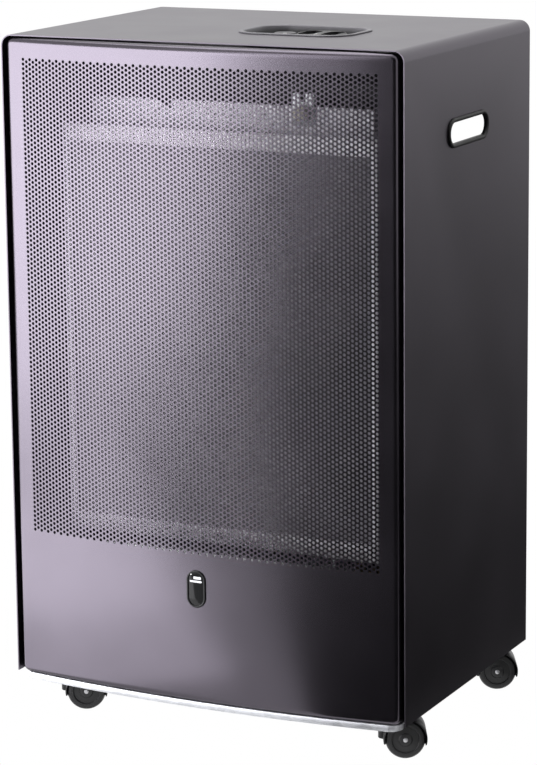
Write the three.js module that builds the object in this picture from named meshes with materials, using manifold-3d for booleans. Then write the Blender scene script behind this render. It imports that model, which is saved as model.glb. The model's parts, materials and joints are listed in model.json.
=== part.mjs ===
// Portable gas cabinet heater: a wrapped steel cabinet on four twin-wheel casters, with a bowed
// perforated front, a burner and heat plate behind it, a bottle space and a tilting rear cover.
// Millimetres, +Z up, the front faces -Y and the origin lies on the floor under the middle.
// Inside this file Y is counted from the cabinet's front edge; the last group centres the model.

import * as THREE from 'three';
import { mergeVertices } from 'three/addons/utils/BufferGeometryUtils.js';
import Module from 'manifold-3d';

const wasm = await Module();
wasm.setup();

// Clearances and sheet thicknesses
const gap = 0.3;
const cabinetSheet = 1.2;
const panelSheet = 1.0;
const traySheet = 1.5;
const bracketSheet = 1.5;

// Cabinet
const cabinetWidth = 465;
const cabinetDepth = 335;
const cabinetHeight = 699;
const cabinetCornerRadius = 12;
const rebateDepth = 14;
const rebateFlange = 16;
const rearFlange = 12;
const bottomFlange = 17;

// Front panel
const frontBow = 17.3;
const sideGroove = 5.3;
const topGroove = 1.5;
const panelEdgeRadius = 6;
const panelCornerRadius = 8;
const fieldSideMargin = 28.5;
const fieldAboveBottom = 161;
const fieldBelowTop = 25;
const meshPitch = 56;
const meshHoleRadius = 21.5;

// Sight window
const windowAboveBottom = 125;
const windowWidth = 22.4;
const windowHeight = 40.8;
const windowLip = 1.1;
const windowWall = 1.7;
const windowProud = 0.8;
const windowDepth = 4;
const glassThickness = 2;

// Side handles
const handleFromFront = 162;
const handleBelowTop = 97;
const handleWidth = 107;
const handleHeight = 31;
const handleLip = 3;
const handleWall = 2.5;
const handleProud = 2.2;
const handleDepth = 2.3;

// Base tray
const trayInset = 8.5;
const trayFrontInset = 2;
const trayLip = 5.2;
const trayCornerRadius = 14;
const trayRearClearance = 4;
const platformFromFront = 264;
const platformRadius = 142;
const platformRise = 3;

// Rear cover and its hinge
const coverBelowTop = 163;
const coverAboveTray = 6.3;
const coverSideInset = 4.5;
const coverFlangeWidth = 14;
const coverTaper = 46;
const coverBulge = 80;
const louvreCount = 6;
const louvreWidth = 110;
const louvreHeight = 6;
const louvrePitch = 22;
const louvreAbove = 330;
const louvreFromMiddle = 12;
const hingePinRadius = 2.5;
const hingeFromCabinet = 6;
const hingeLugRadius = 5;
const hingeLugInset = 9;
const hingeLugRise = 12;
const hingeEarReach = 10;
const hingePinLength = 8.5;
const hingePinHead = 1.5;
const studRadius = 2;
const studHeadThickness = 1.5;
const studClearance = 1.5;
const studInset = 4;
const studBelowTop = 20;

// Casters
const casterHeight = 44.9;
const casterSideInset = 40.5;
const casterFrontInset = 40;
const casterRearInset = 42;
const casterTrail = 20;
const casterAngle = 27;
const rearLeftCasterAngle = 153;
const wheelRadius = 21;
const wheelWidth = 14;
const wheelAxleRadius = 2.5;
const casterWeb = 8;
const casterShell = 1.4;
const casterRunning = 0.8;
const casterBossRadius = 8;
const casterPlateRadius = 11;
const casterPlateThickness = 2;
const casterStemRadius = 4;
const casterStemLength = 17;

// Heat plate, reflector and divider
const plateFromFront = 40;
const plateSideInset = 48.5;
const plateAboveBottom = 159;
const plateBelowTop = 96;
const plateFlange = 18.5;
const plateSideFlange = 8;
const platePress = 4;
const dividerFromFront = 105;
const dividerAboveReflector = 21;
const dividerFlange = 12;
const deflectorReach = 35;
const reflectorFromFront = 73;
const reflectorSideInset = 18;
const reflectorAboveBottom = 163;
const reflectorBelowTop = 70;
const notchFromCentre = 70;
const notchWidth = 19;
const notchDepth = 9;
const cutoutFromCentre = 86;
const cutoutRadius = 8;
const cutoutThickness = 8;
const cutoutBracketWidth = 26;
const cutoutBracketHeight = 34;

// Burner, pilot and gas line
const burnerFromFront = 65;
const burnerAboveBottom = 135;
const burnerRadius = 15;
const burnerWall = 1.5;
const burnerEndInset = 16;
const burnerPortCount = 9;
const burnerPortWidth = 3;
const burnerBracketInset = 20;
const burnerBracketFoot = 15;
const elbowRadius = 8;
const elbowReach = 20;
const elbowOffset = 3;
const pipeRadius = 4;
const pipeFromDivider = 14;
const leadFromDivider = 7;
const leadFromMiddle = 20;
const leadHoleBelowShelf = 35;
const pilotFromFront = 38;
const pilotShelfAboveBottom = 104;
const pilotSpacing = 14;
const pilotRadius = 6;
const pilotHeight = 18;
const pilotShelfMargin = 14;
const pilotShelfBehind = 10;
const thermocoupleRadius = 2.5;
const thermocoupleBelow = 20;
const thermocoupleAbove = 18;
const thermocoupleTip = 1.5;
const thermocoupleLead = 1.3;
const electrodeRadius = 3.5;
const electrodeBelow = 14;
const electrodeAbove = 12;
const electrodeTip = 1;
const leadRadius = 1.8;

// Controls
const bezelFromCentre = 56;
const bezelFromFront = 141;
const bezelWidth = 134;
const bezelDepth = 96;
const bezelCornerRadius = 32;
const bezelLip = 4;
const bezelLipThickness = 1.2;
const bezelWall = 1.8;
const bezelWell = 24;
const knobOffset = 19;
const knobRadius = 27;
const knobHeight = 15;
const knobBelowTop = 1;
const knobBarWidth = 9;
const knobScoopDepth = 8;
const knobTravel = 7;
const spindleRadius = 4;
const spindleGrip = 10;
const buttonOffset = -24;
const buttonRadius = 12;
const buttonBelowTop = 2;
const buttonThickness = 7;
const buttonTravel = 6;
const plungerRadius = 5;
const piezoRadius = 9;
const piezoLength = 40;
const valveWidth = 46;
const valveHeight = 46;
const valveNeck = 5;
const nippleRadius = 5;
const nippleLength = 32;

// Levels and widths worked out from the sizes above
const halfWidth = cabinetWidth / 2;
const innerHalf = halfWidth - cabinetSheet;
const fieldWidth = cabinetWidth - 2 * fieldSideMargin;
const fieldHeight = cabinetHeight - fieldAboveBottom - fieldBelowTop;
const trayBottom = casterHeight + gap;
const trayTop = trayBottom + traySheet;
const cabinetBottom = trayTop + gap;
const cabinetTop = cabinetBottom + cabinetHeight;
const panelHalf = innerHalf - sideGroove;
const panelTop = cabinetTop - cabinetSheet - topGroove;
const panelBack = rebateDepth - gap;
const dividerBack = dividerFromFront + cabinetSheet;
const reflectorTop = cabinetTop - reflectorBelowTop;
const dividerTop = reflectorTop + dividerAboveReflector;
const plateHalf = halfWidth - plateSideInset;
const reflectorHalf = plateHalf - reflectorSideInset;
const burnerHalf = reflectorHalf - burnerEndInset;
const burnerBracketX = burnerHalf - burnerBracketInset;
const bowRadius = (halfWidth * halfWidth + frontBow * frontBow) / (2 * frontBow);
const platformTop = trayTop + platformRise;
const coverBottom = trayTop + coverAboveTray;
const coverTop = cabinetTop - coverBelowTop;
const coverFlangeHalf = halfWidth - coverSideInset;
const coverBendHalf = coverFlangeHalf - coverFlangeWidth;
const coverBackHalf = coverBendHalf - coverTaper;
const coverFront = cabinetDepth + gap;
const coverBack = cabinetDepth + coverBulge;
const hingeY = cabinetDepth + hingeFromCabinet;
const hingeZ = cabinetBottom;
const hingeLugX = coverFlangeHalf - hingeLugInset;
const studX = coverFlangeHalf - studInset;
const studZ = coverTop - studBelowTop;
const casterX = halfWidth - casterSideInset;
const casterRearY = cabinetDepth - casterRearInset;
const knobX = bezelFromCentre + knobOffset;
const buttonX = bezelFromCentre + buttonOffset;
const wellFloor = cabinetTop - bezelWell;
const wellUnderside = wellFloor - bezelWall;
const burnerZ = cabinetBottom + burnerAboveBottom;
const shelfTop = cabinetBottom + pilotShelfAboveBottom;
const leadHoleZ = shelfTop - leadHoleBelowShelf;
const leadBendY = dividerBack + leadFromDivider;
const valveTop = wellUnderside - 2 * gap - bracketSheet - gap;
const valveBottom = valveTop - valveHeight;
const valveMiddleZ = valveBottom + valveHeight / 2;
const pipeX = burnerHalf + gap + elbowReach / 2 + elbowOffset;
const pipeY = dividerBack + pipeFromDivider;
const windowFront = -frontBow - gap - windowProud;
const modelMiddleY = (coverBack + windowFront) / 2;

// Colours, roughness and metalness of the finishes
const finish = (color, roughness, metalness) =>
  new THREE.MeshStandardMaterial({ color, roughness, metalness });
const paintedSteel = finish(0x4a474f, 0.45, 0.35);
const blackSheet = finish(0x1c1c1e, 0.6, 0.2);
const galvanised = finish(0xb9bcc2, 0.4, 0.8);
const aluminised = finish(0xc9cbd0, 0.3, 0.9);
const brass = finish(0xb08d45, 0.35, 0.9);
const blackPlastic = finish(0x18181a, 0.5, 0);
const glossPlastic = finish(0x0a0a0b, 0.15, 0);
const greyPlastic = finish(0x3a3a3e, 0.5, 0);
const steel = finish(0x9a9ca0, 0.35, 0.9);
const ceramic = finish(0xe8e2d4, 0.6, 0);
const darkGlass = finish(0x101214, 0.05, 0);
const rubberBlack = finish(0x121213, 0.8, 0);

// ---- Small geometry helpers ----

function manifoldOf(geometry) {
  const bare = geometry.clone();
  bare.deleteAttribute('normal');
  bare.deleteAttribute('uv');
  const merged = mergeVertices(bare, 1e-4);
  return new wasm.Manifold(new wasm.Mesh({
    numProp: 3,
    vertProperties: new Float32Array(merged.attributes.position.array),
    triVerts: new Uint32Array(merged.index.array),
  }));
}

function geometryOf(manifold) {
  const mesh = manifold.getMesh();
  const geometry = new THREE.BufferGeometry();
  geometry.setAttribute('position', new THREE.BufferAttribute(mesh.vertProperties, 3));
  geometry.setIndex(new THREE.BufferAttribute(mesh.triVerts, 1));
  geometry.computeVertexNormals();
  return geometry;
}

function join(first, ...others) {
  return geometryOf(others.reduce((sum, other) => sum.add(manifoldOf(other)), manifoldOf(first)));
}

function cut(first, ...tools) {
  return geometryOf(tools.reduce((sum, tool) => sum.subtract(manifoldOf(tool)), manifoldOf(first)));
}

function common(first, ...others) {
  return geometryOf(others.reduce((sum, other) => sum.intersect(manifoldOf(other)), manifoldOf(first)));
}

function box(x0, x1, y0, y1, z0, z1) {
  const geometry = new THREE.BoxGeometry(x1 - x0, y1 - y0, z1 - z0);
  return geometry.translate((x0 + x1) / 2, (y0 + y1) / 2, (z0 + z1) / 2);
}

function extrudeZ(shape, z0, z1, curveSegments = 4) {
  const options = { depth: z1 - z0, bevelEnabled: false, curveSegments };
  return new THREE.ExtrudeGeometry(shape, options).translate(0, 0, z0);
}

// The shape is drawn in X and Z.
function extrudeY(shape, y0, y1, curveSegments = 4) {
  return extrudeZ(shape, 0, y1 - y0, curveSegments).rotateX(Math.PI / 2).translate(0, y1, 0);
}

// The shape is drawn in Y and Z.
function extrudeX(shape, x0, x1, curveSegments = 4, steps = 1) {
  const options = { depth: x1 - x0, bevelEnabled: false, curveSegments, steps };
  const toYZ = new THREE.Matrix4().set(0, 0, 1, 0, 1, 0, 0, 0, 0, 1, 0, 0, 0, 0, 0, 1);
  return new THREE.ExtrudeGeometry(shape, options).applyMatrix4(toYZ).translate(x0, 0, 0);
}

function roundedRectangle(x, y, width, height, radius) {
  const shape = new THREE.Shape();
  const right = x + width / 2 - radius;
  const left = x - width / 2 + radius;
  const top = y + height / 2 - radius;
  const bottom = y - height / 2 + radius;
  shape.moveTo(right + radius, bottom);
  shape.lineTo(right + radius, top);
  shape.absarc(right, top, radius, 0, Math.PI / 2);
  shape.lineTo(left, top + radius);
  shape.absarc(left, top, radius, Math.PI / 2, Math.PI);
  shape.lineTo(left - radius, bottom);
  shape.absarc(left, bottom, radius, Math.PI, 1.5 * Math.PI);
  shape.lineTo(right, bottom - radius);
  shape.absarc(right, bottom, radius, 1.5 * Math.PI, 2 * Math.PI);
  return shape;
}

function polygon(points) {
  return new THREE.Shape(points.map(([x, y]) => new THREE.Vector2(x, y)));
}

function rodX(radius, x0, x1, y, z, sides = 16) {
  const rod = new THREE.CylinderGeometry(radius, radius, x1 - x0, sides).rotateZ(-Math.PI / 2);
  return rod.translate((x0 + x1) / 2, y, z);
}

function rodY(radius, y0, y1, x, z, sides = 16) {
  return new THREE.CylinderGeometry(radius, radius, y1 - y0, sides).translate(x, (y0 + y1) / 2, z);
}

function rodZ(radius, z0, z1, x, y, sides = 16) {
  const rod = new THREE.CylinderGeometry(radius, radius, z1 - z0, sides).rotateX(Math.PI / 2);
  return rod.translate(x, y, (z0 + z1) / 2);
}

// The profile is a closed list of [radius, height] points; the axis is Z.
function latheZ(profile, sides) {
  const points = profile.map(([radius, height]) => new THREE.Vector2(radius, height));
  return new THREE.LatheGeometry(points, sides).rotateX(Math.PI / 2);
}

function tube(points, radius, sides, steps) {
  const path = new THREE.CatmullRomCurve3(points.map((point) => new THREE.Vector3(...point)));
  const section = new THREE.Shape();
  for (let side = 0; side < sides; side += 1) {
    const angle = (2 * Math.PI * side) / sides;
    const x = radius * Math.cos(angle);
    const y = radius * Math.sin(angle);
    if (side === 0) {
      section.moveTo(x, y);
    } else {
      section.lineTo(x, y);
    }
  }
  return new THREE.ExtrudeGeometry(section, { steps, extrudePath: path, bevelEnabled: false });
}

function mirrored(geometry) {
  const positions = geometry.toNonIndexed();
  positions.scale(-1, 1, 1);
  const array = positions.attributes.position.array;
  for (let corner = 0; corner < array.length; corner += 9) {
    for (let axis = 0; axis < 3; axis += 1) {
      const kept = array[corner + 3 + axis];
      array[corner + 3 + axis] = array[corner + 6 + axis];
      array[corner + 6 + axis] = kept;
    }
  }
  positions.computeVertexNormals();
  return positions;
}

// Y of the bowed front at a distance from the middle.
function bowAt(x) {
  return bowRadius - frontBow - Math.sqrt(bowRadius * bowRadius - x * x);
}

// ---- Cabinet ----

// The cabinet's outline from the front, open at the bottom, with two rounded upper corners.
function cabinetOutline(inset, drop) {
  const half = halfWidth - inset;
  const top = cabinetTop - inset;
  const radius = Math.max(cabinetCornerRadius - inset, 1);
  const shape = new THREE.Shape();
  shape.moveTo(-half, cabinetBottom - drop);
  shape.lineTo(half, cabinetBottom - drop);
  shape.lineTo(half, top - radius);
  shape.absarc(half - radius, top - radius, radius, 0, Math.PI / 2);
  shape.lineTo(-half + radius, top);
  shape.absarc(-half + radius, top - radius, radius, Math.PI / 2, Math.PI);
  return shape;
}

function cabinetRing(y0, y1, width) {
  const outer = extrudeY(cabinetOutline(cabinetSheet / 2, 0), y0, y1);
  const inner = extrudeY(cabinetOutline(cabinetSheet + width, 1), y0 - 1, y1 + 1);
  return cut(outer, inner);
}

function handleHole() {
  const width = handleWidth - 2 * handleLip;
  const height = handleHeight - 2 * handleLip;
  const z = cabinetTop - handleBelowTop;
  return roundedRectangle(handleFromFront, z, width, height, height / 2 - 0.01);
}

function bezelHole() {
  const width = bezelWidth - 2 * bezelLip;
  const depth = bezelDepth - 2 * bezelLip;
  return roundedRectangle(bezelFromCentre, bezelFromFront, width, depth, bezelCornerRadius - bezelLip);
}

function cabinetWrap() {
  const outer = extrudeY(cabinetOutline(0, 0), 0, cabinetDepth);
  const inner = extrudeY(cabinetOutline(cabinetSheet, 1), -1, cabinetDepth + 1);
  const skin = cut(outer, inner);
  const rebate = cabinetRing(rebateDepth, rebateDepth + cabinetSheet, rebateFlange);
  const rear = cabinetRing(cabinetDepth - cabinetSheet, cabinetDepth, rearFlange);
  const flangeTop = cabinetBottom + cabinetSheet;
  const flangeSide = innerHalf - bottomFlange;
  const outside = halfWidth - cabinetSheet / 2;
  const rightFoot = box(flangeSide, outside, rebateDepth, cabinetDepth, cabinetBottom, flangeTop);
  const leftFoot = box(-outside, -flangeSide, rebateDepth, cabinetDepth, cabinetBottom, flangeTop);
  const cuts = [
    extrudeX(handleHole(), -halfWidth - 5, halfWidth + 5),
    extrudeZ(bezelHole(), wellFloor, cabinetTop + 5),
    rodY(studRadius + studClearance, cabinetDepth - 5, cabinetDepth + 5, studX, studZ, 12),
    rodY(studRadius + studClearance, cabinetDepth - 5, cabinetDepth + 5, -studX, studZ, 12),
  ];
  return cut(join(skin, rebate, rear, rightFoot, leftFoot), ...cuts);
}

// ---- Front panel ----

// A solid as wide and tall as the panel, its front face moved back by the inset.
function panelSolid(inset, back) {
  const bottom = cabinetBottom + inset;
  const top = panelTop - inset;
  const radius = panelEdgeRadius - inset;
  const half = panelHalf - inset;
  const section = new THREE.Shape();
  const deepest = panelBack + 2 * frontBow;
  section.moveTo(deepest, bottom);
  section.lineTo(deepest, top);
  section.lineTo(inset + radius, top);
  section.absarc(inset + radius, top - radius, radius, Math.PI / 2, Math.PI);
  section.absarc(inset + radius, bottom + radius, radius, Math.PI, 1.5 * Math.PI);
  const bowed = extrudeX(section, -halfWidth, halfWidth, 3, 16);
  const position = bowed.attributes.position;
  for (let index = 0; index < position.count; index += 1) {
    position.setY(index, position.getY(index) + bowAt(position.getX(index)));
  }
  const cornerY = bowAt(half - radius) + inset + radius;
  const ahead = -2 * frontBow;
  const plan = new THREE.Shape();
  plan.moveTo(half - radius, ahead);
  plan.lineTo(half - radius, cornerY - radius * Math.cos(0.1));
  plan.absarc(half - radius, cornerY, radius, -Math.PI / 2 + 0.1, 0);
  plan.lineTo(half, back);
  plan.lineTo(-half, back);
  plan.absarc(-half + radius, cornerY, radius, Math.PI, 1.5 * Math.PI - 0.1);
  plan.lineTo(-half + radius, ahead);
  const upright = extrudeZ(plan, cabinetBottom - 1, cabinetTop, 3);
  const height = top - bottom;
  const face = roundedRectangle(0, (top + bottom) / 2, 2 * half, height, panelCornerRadius - inset);
  return common(bowed, upright, extrudeY(face, ahead, back, 3));
}

function fieldHoles() {
  const rowPitch = meshPitch * Math.sin(Math.PI / 3);
  const rows = Math.floor((fieldHeight - 2 * meshHoleRadius) / rowPitch) + 1;
  const columns = Math.floor((fieldWidth - 2 * meshHoleRadius) / meshPitch) + 1;
  const middle = cabinetBottom + fieldAboveBottom + fieldHeight / 2;
  const holes = [];
  for (let row = 0; row < rows; row += 1) {
    const z = middle + (row - (rows - 1) / 2) * rowPitch;
    const shorter = row % 2;
    for (let column = 0; column < columns - shorter; column += 1) {
      const x = (column - (columns - 1 - shorter) / 2) * meshPitch;
      holes.push(rodY(meshHoleRadius, -2 * frontBow, panelSheet + 2, x, z, 6));
    }
  }
  return holes;
}

function windowOutline(inset) {
  const width = windowWidth - 2 * inset;
  const z = cabinetBottom + windowAboveBottom;
  return roundedRectangle(0, z, width, windowHeight - 2 * inset, width / 2 - 0.01);
}

function frontPanel() {
  const shell = cut(panelSolid(0, panelBack), panelSolid(panelSheet, panelBack + 5));
  const windowHole = extrudeY(windowOutline(windowLip), -2 * frontBow, 0);
  return cut(shell, ...fieldHoles(), windowHole);
}

function windowBezel() {
  const front = windowFront;
  const back = front + windowDepth;
  const lip = extrudeY(windowOutline(0), front, -frontBow - gap);
  const sleeve = extrudeY(windowOutline(windowLip + gap), front + windowProud / 2, back);
  const opening = extrudeY(windowOutline(windowLip + gap + windowWall), front - 1, back + 1);
  const seat = extrudeY(windowOutline(windowLip + gap + windowWall / 2), front - 1, back - 1);
  return cut(join(lip, sleeve), opening, seat);
}

function sightGlass() {
  const back = windowFront + windowDepth - 1 - gap;
  return extrudeY(windowOutline(windowLip + windowWall / 2 + 2 * gap), back - glassThickness, back);
}

// ---- Side handles ----

function handleGrommet() {
  const z = cabinetTop - handleBelowTop;
  const outline = (inset) => {
    const height = handleHeight - 2 * inset;
    return roundedRectangle(handleFromFront, z, handleWidth - 2 * inset, height, height / 2 - 0.01);
  };
  const lip = extrudeX(outline(0), halfWidth + gap, halfWidth + gap + handleProud);
  const sleeve = extrudeX(outline(handleLip + gap), halfWidth - handleDepth, halfWidth + handleProud);
  const opening = extrudeX(outline(handleLip + gap + handleWall / 2), halfWidth - 20, halfWidth + 20);
  return cut(join(lip, sleeve), opening);
}

// ---- Base tray ----

function trayPlan(inset) {
  const half = halfWidth - trayInset - inset;
  const front = trayFrontInset + inset;
  const radius = trayCornerRadius - inset;
  const rearHalf = coverBackHalf - trayRearClearance - inset;
  const rear = coverBack - cabinetSheet - trayRearClearance - inset;
  const cornerY = bowAt(half - radius) + front + radius;
  const arcX = half - radius;
  const plan = new THREE.Shape();
  plan.moveTo(half, cornerY);
  plan.lineTo(half, cabinetDepth - inset);
  plan.lineTo(coverBendHalf - 2 * trayRearClearance - inset, cabinetDepth - inset);
  plan.lineTo(rearHalf, rear);
  plan.lineTo(-rearHalf, rear);
  plan.lineTo(-coverBendHalf + 2 * trayRearClearance + inset, cabinetDepth - inset);
  plan.lineTo(-half, cabinetDepth - inset);
  plan.lineTo(-half, cornerY);
  plan.absarc(-arcX, cornerY, radius, Math.PI, 1.5 * Math.PI);
  for (let step = 1; step < 12; step += 1) {
    const x = -arcX + (2 * arcX * step) / 12;
    plan.lineTo(x, bowAt(x) + front);
  }
  plan.absarc(arcX, cornerY, radius, 1.5 * Math.PI, 2 * Math.PI);
  return plan;
}

function hingeEar(side) {
  const inner = hingeLugX + bracketSheet + 1;
  const x0 = side > 0 ? inner : -inner - bracketSheet;
  const armBottom = hingeZ - hingeLugRadius;
  const arm = box(x0, x0 + bracketSheet, cabinetDepth - hingeEarReach, hingeY, armBottom, trayTop - gap);
  const boss = rodX(hingeLugRadius, x0, x0 + bracketSheet, hingeY, hingeZ, 12);
  const hole = rodX(hingePinRadius + gap, x0 - 1, x0 + bracketSheet + 1, hingeY, hingeZ, 16);
  return cut(join(arm, boss), hole);
}

// A disc pressed up out of the floor, for the gas bottle to stand on.
function bottlePlatform() {
  const disc = new THREE.Shape().absarc(0, platformFromFront, platformRadius, 0, 2 * Math.PI);
  const recess = new THREE.Shape().absarc(0, platformFromFront, platformRadius - traySheet, 0, 2 * Math.PI);
  return [
    extrudeZ(disc, trayBottom, platformTop, 32),
    extrudeZ(recess, trayBottom - 1, platformTop - traySheet, 32),
  ];
}

function baseTray() {
  const [platform, recess] = bottlePlatform();
  const floor = cut(join(extrudeZ(trayPlan(0), trayBottom, trayTop), platform), recess);
  const lipBottom = trayBottom - trayLip;
  const lipBlock = extrudeZ(trayPlan(0), lipBottom, trayTop);
  const lipHollow = extrudeZ(trayPlan(traySheet), lipBottom - 1, trayTop + 1);
  const lipEnd = bowAt(halfWidth - trayInset) + trayFrontInset + trayCornerRadius;
  const behind = box(-halfWidth, halfWidth, lipEnd, coverBack, lipBottom - 1, trayTop + 1);
  const lip = cut(lipBlock, lipHollow, behind);
  return join(floor, lip, hingeEar(1), hingeEar(-1));
}

// ---- Rear cover ----

function coverPlan(inset) {
  const shape = new THREE.Shape();
  shape.moveTo(-coverFlangeHalf, coverFront);
  shape.lineTo(-coverBendHalf, coverFront);
  shape.lineTo(-coverBackHalf, coverBack - inset);
  shape.lineTo(coverBackHalf, coverBack - inset);
  shape.lineTo(coverBendHalf, coverFront);
  shape.lineTo(coverFlangeHalf, coverFront);
  shape.lineTo(coverFlangeHalf, coverFront + inset);
  shape.lineTo(coverBendHalf + inset * 0.6, coverFront + inset);
  shape.lineTo(coverBackHalf + inset * 0.6, coverBack);
  shape.lineTo(-coverBackHalf - inset * 0.6, coverBack);
  shape.lineTo(-coverBendHalf - inset * 0.6, coverFront + inset);
  shape.lineTo(-coverFlangeHalf, coverFront + inset);
  return shape;
}

function coverLug(side) {
  const x0 = side > 0 ? hingeLugX : -hingeLugX - bracketSheet;
  const x1 = x0 + bracketSheet;
  const armTop = coverBottom + hingeLugRise;
  const arm = box(x0, x1, coverFront + cabinetSheet / 2, hingeY + hingeLugRadius, coverBottom, armTop);
  const neck = box(x0, x1, hingeY - hingeLugRadius + 1, hingeY + hingeLugRadius, hingeZ, coverBottom + 1);
  const boss = rodX(hingeLugRadius, x0, x1, hingeY, hingeZ, 12);
  const hole = rodX(hingePinRadius + gap, x0 - 1, x1 + 1, hingeY, hingeZ, 16);
  return cut(join(arm, neck, boss), hole);
}

function rearCover() {
  const skin = extrudeZ(coverPlan(cabinetSheet), coverBottom, coverTop);
  const cuts = [];
  for (let row = 0; row < louvreCount; row += 1) {
    const z = coverBottom + louvreAbove + row * louvrePitch;
    for (const side of [-1, 1]) {
      const x = side * (louvreWidth / 2 + louvreFromMiddle);
      const slot = [x - louvreWidth / 2, x + louvreWidth / 2, coverBack - 5, coverBack + 5];
      cuts.push(box(...slot, z, z + louvreHeight));
    }
  }
  for (const side of [-1, 1]) {
    cuts.push(rodY(studRadius + gap, coverFront - 5, coverFront + 5, side * studX, studZ, 12));
  }
  return cut(join(skin, coverLug(1), coverLug(-1)), ...cuts);
}

function coverStud(side) {
  const back = coverFront + cabinetSheet + gap;
  const inside = cabinetDepth - studInset;
  const shank = rodY(studRadius, inside, back + studHeadThickness / 2, side * studX, studZ, 12);
  const head = rodY(2 * studRadius, back, back + studHeadThickness, side * studX, studZ, 12);
  return join(shank, head);
}

function hingePin(side) {
  const inner = hingeLugX - 2;
  const outer = inner + hingePinLength;
  const headRadius = hingePinRadius + hingePinHead;
  const shaft = rodX(hingePinRadius, inner, outer, hingeY, hingeZ, 16);
  const head = rodX(headRadius, outer - hingePinHead, outer, hingeY, hingeZ, 16);
  const collar = rodX(headRadius, inner - 1, inner + 1, hingeY, hingeZ, 16);
  const pin = join(shaft, head, collar);
  return side > 0 ? pin : mirrored(pin);
}

// ---- Divider, heat plate and reflector ----

function dividerPanel() {
  const back = dividerBack;
  const half = innerHalf - gap;
  const bottom = cabinetBottom + cabinetSheet + gap;
  const top = dividerTop;
  const footHalf = innerHalf - bottomFlange - gap;
  const web = box(-half, half, dividerFromFront, back, bottom, top);
  const flangeY = dividerFromFront - dividerFlange;
  const right = box(half - cabinetSheet, half, flangeY, back, bottom, top);
  const left = box(-half, -half + cabinetSheet, flangeY, back, bottom, top);
  const foot = box(-footHalf, footHalf, flangeY, back, cabinetBottom, bottom + cabinetSheet);
  const slope = polygon([
    [back, top],
    [dividerFromFront, top],
    [dividerFromFront - deflectorReach, top + deflectorReach],
    [dividerFromFront - deflectorReach, top + deflectorReach + cabinetSheet * Math.SQRT2],
    [back, top + cabinetSheet * (Math.SQRT2 - 1)],
  ]);
  const deflector = extrudeX(slope, -half, half);
  const holes = [
    rodY(pipeRadius + 2, flangeY, back + 5, pipeX, burnerZ, 12),
    rodY(leadRadius + 2, flangeY, back + 5, leadFromMiddle, leadHoleZ, 12),
    rodY(leadRadius + 2, flangeY, back + 5, -leadFromMiddle, leadHoleZ, 12),
  ];
  return cut(join(web, right, left, foot, deflector), ...holes);
}

function heatPlate() {
  const bottom = cabinetBottom + plateAboveBottom;
  const top = cabinetTop - plateBelowTop;
  const front = plateFromFront;
  const half = plateHalf;
  const block = box(-half, half, front, dividerFromFront - gap, bottom, top);
  const channelFront = front + cabinetSheet + platePress;
  const wall = half - cabinetSheet;
  const channel = box(-wall, wall, channelFront, dividerFromFront, bottom - 1, top + 1);
  const innerHalfWidth = half - plateSideFlange;
  const press = box(
    -innerHalfWidth, innerHalfWidth, front - 1, front + platePress, bottom + plateFlange, top - plateFlange,
  );
  const rimY = [front + cabinetSheet, channelFront + 1];
  const rimBottom = bottom + plateFlange - cabinetSheet;
  const rimTop = top - plateFlange + cabinetSheet;
  const relief = [
    box(-wall, -innerHalfWidth - cabinetSheet, ...rimY, bottom - 1, top + 1),
    box(innerHalfWidth + cabinetSheet, wall, ...rimY, bottom - 1, top + 1),
    box(-wall, wall, ...rimY, bottom - 1, rimBottom),
    box(-wall, wall, ...rimY, rimTop, top + 1),
  ];
  return cut(block, channel, press, ...relief);
}

function rearReflector() {
  const bottom = cabinetBottom + reflectorAboveBottom;
  const top = reflectorTop;
  const half = reflectorHalf;
  const back = dividerFromFront - gap;
  const block = box(-half, half, reflectorFromFront, back, bottom, top);
  const wall = half - cabinetSheet;
  const hollowFront = reflectorFromFront + cabinetSheet;
  const inside = box(-wall, wall, hollowFront, back + 1, bottom - 1, top + 1);
  const notch = polygon([
    [-notchFromCentre - notchWidth, top + 1],
    [-notchFromCentre, top - notchDepth],
    [-notchFromCentre, top + 1],
  ]);
  return cut(block, inside, extrudeY(notch, reflectorFromFront - 1, reflectorFromFront + 5));
}

function cutoutBracket() {
  const back = reflectorFromFront - gap;
  const x0 = cutoutFromCentre - cutoutBracketWidth / 2;
  const x1 = cutoutFromCentre + cutoutBracketWidth / 2;
  const bottom = reflectorTop - cutoutBracketHeight * 0.6;
  const top = bottom + cutoutBracketHeight;
  const plate = box(x0, x1, back - bracketSheet, back, bottom, top);
  const slot = box(x0 + 10, x1 - 10, back - 5, back + 5, top - 9, top + 1);
  return cut(plate, slot);
}

function thermalCutout() {
  const back = reflectorFromFront - 2 * gap - bracketSheet;
  const z = reflectorTop - cutoutBracketHeight * 0.2;
  const body = rodY(cutoutRadius, back - cutoutThickness, back, cutoutFromCentre, z, 16);
  const tongues = [-1, 1].map((side) => {
    const x = cutoutFromCentre + side * 4;
    const front = back - cutoutThickness;
    return box(x - 1.5, x + 1.5, front - 5, front + 1, z - 0.5, z + 0.5);
  });
  return join(body, ...tongues);
}

// ---- Burner and pilot ----

function burnerTube() {
  const outer = rodX(burnerRadius, -burnerHalf, burnerHalf, burnerFromFront, burnerZ, 24);
  const bore = burnerRadius - burnerWall;
  const inner = rodX(bore, -burnerHalf + burnerWall, burnerHalf + 1, burnerFromFront, burnerZ, 24);
  const portPitch = (2 * burnerHalf) / (burnerPortCount + 1);
  const ports = [];
  for (let port = 0; port < burnerPortCount; port += 1) {
    const x = (port - (burnerPortCount - 1) / 2) * portPitch;
    const half = burnerPortWidth / 2;
    ports.push(box(x - half, x + half, burnerFromFront - 8, burnerFromFront + 8, burnerZ, burnerZ + 30));
  }
  return cut(outer, inner, ...ports);
}

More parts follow.
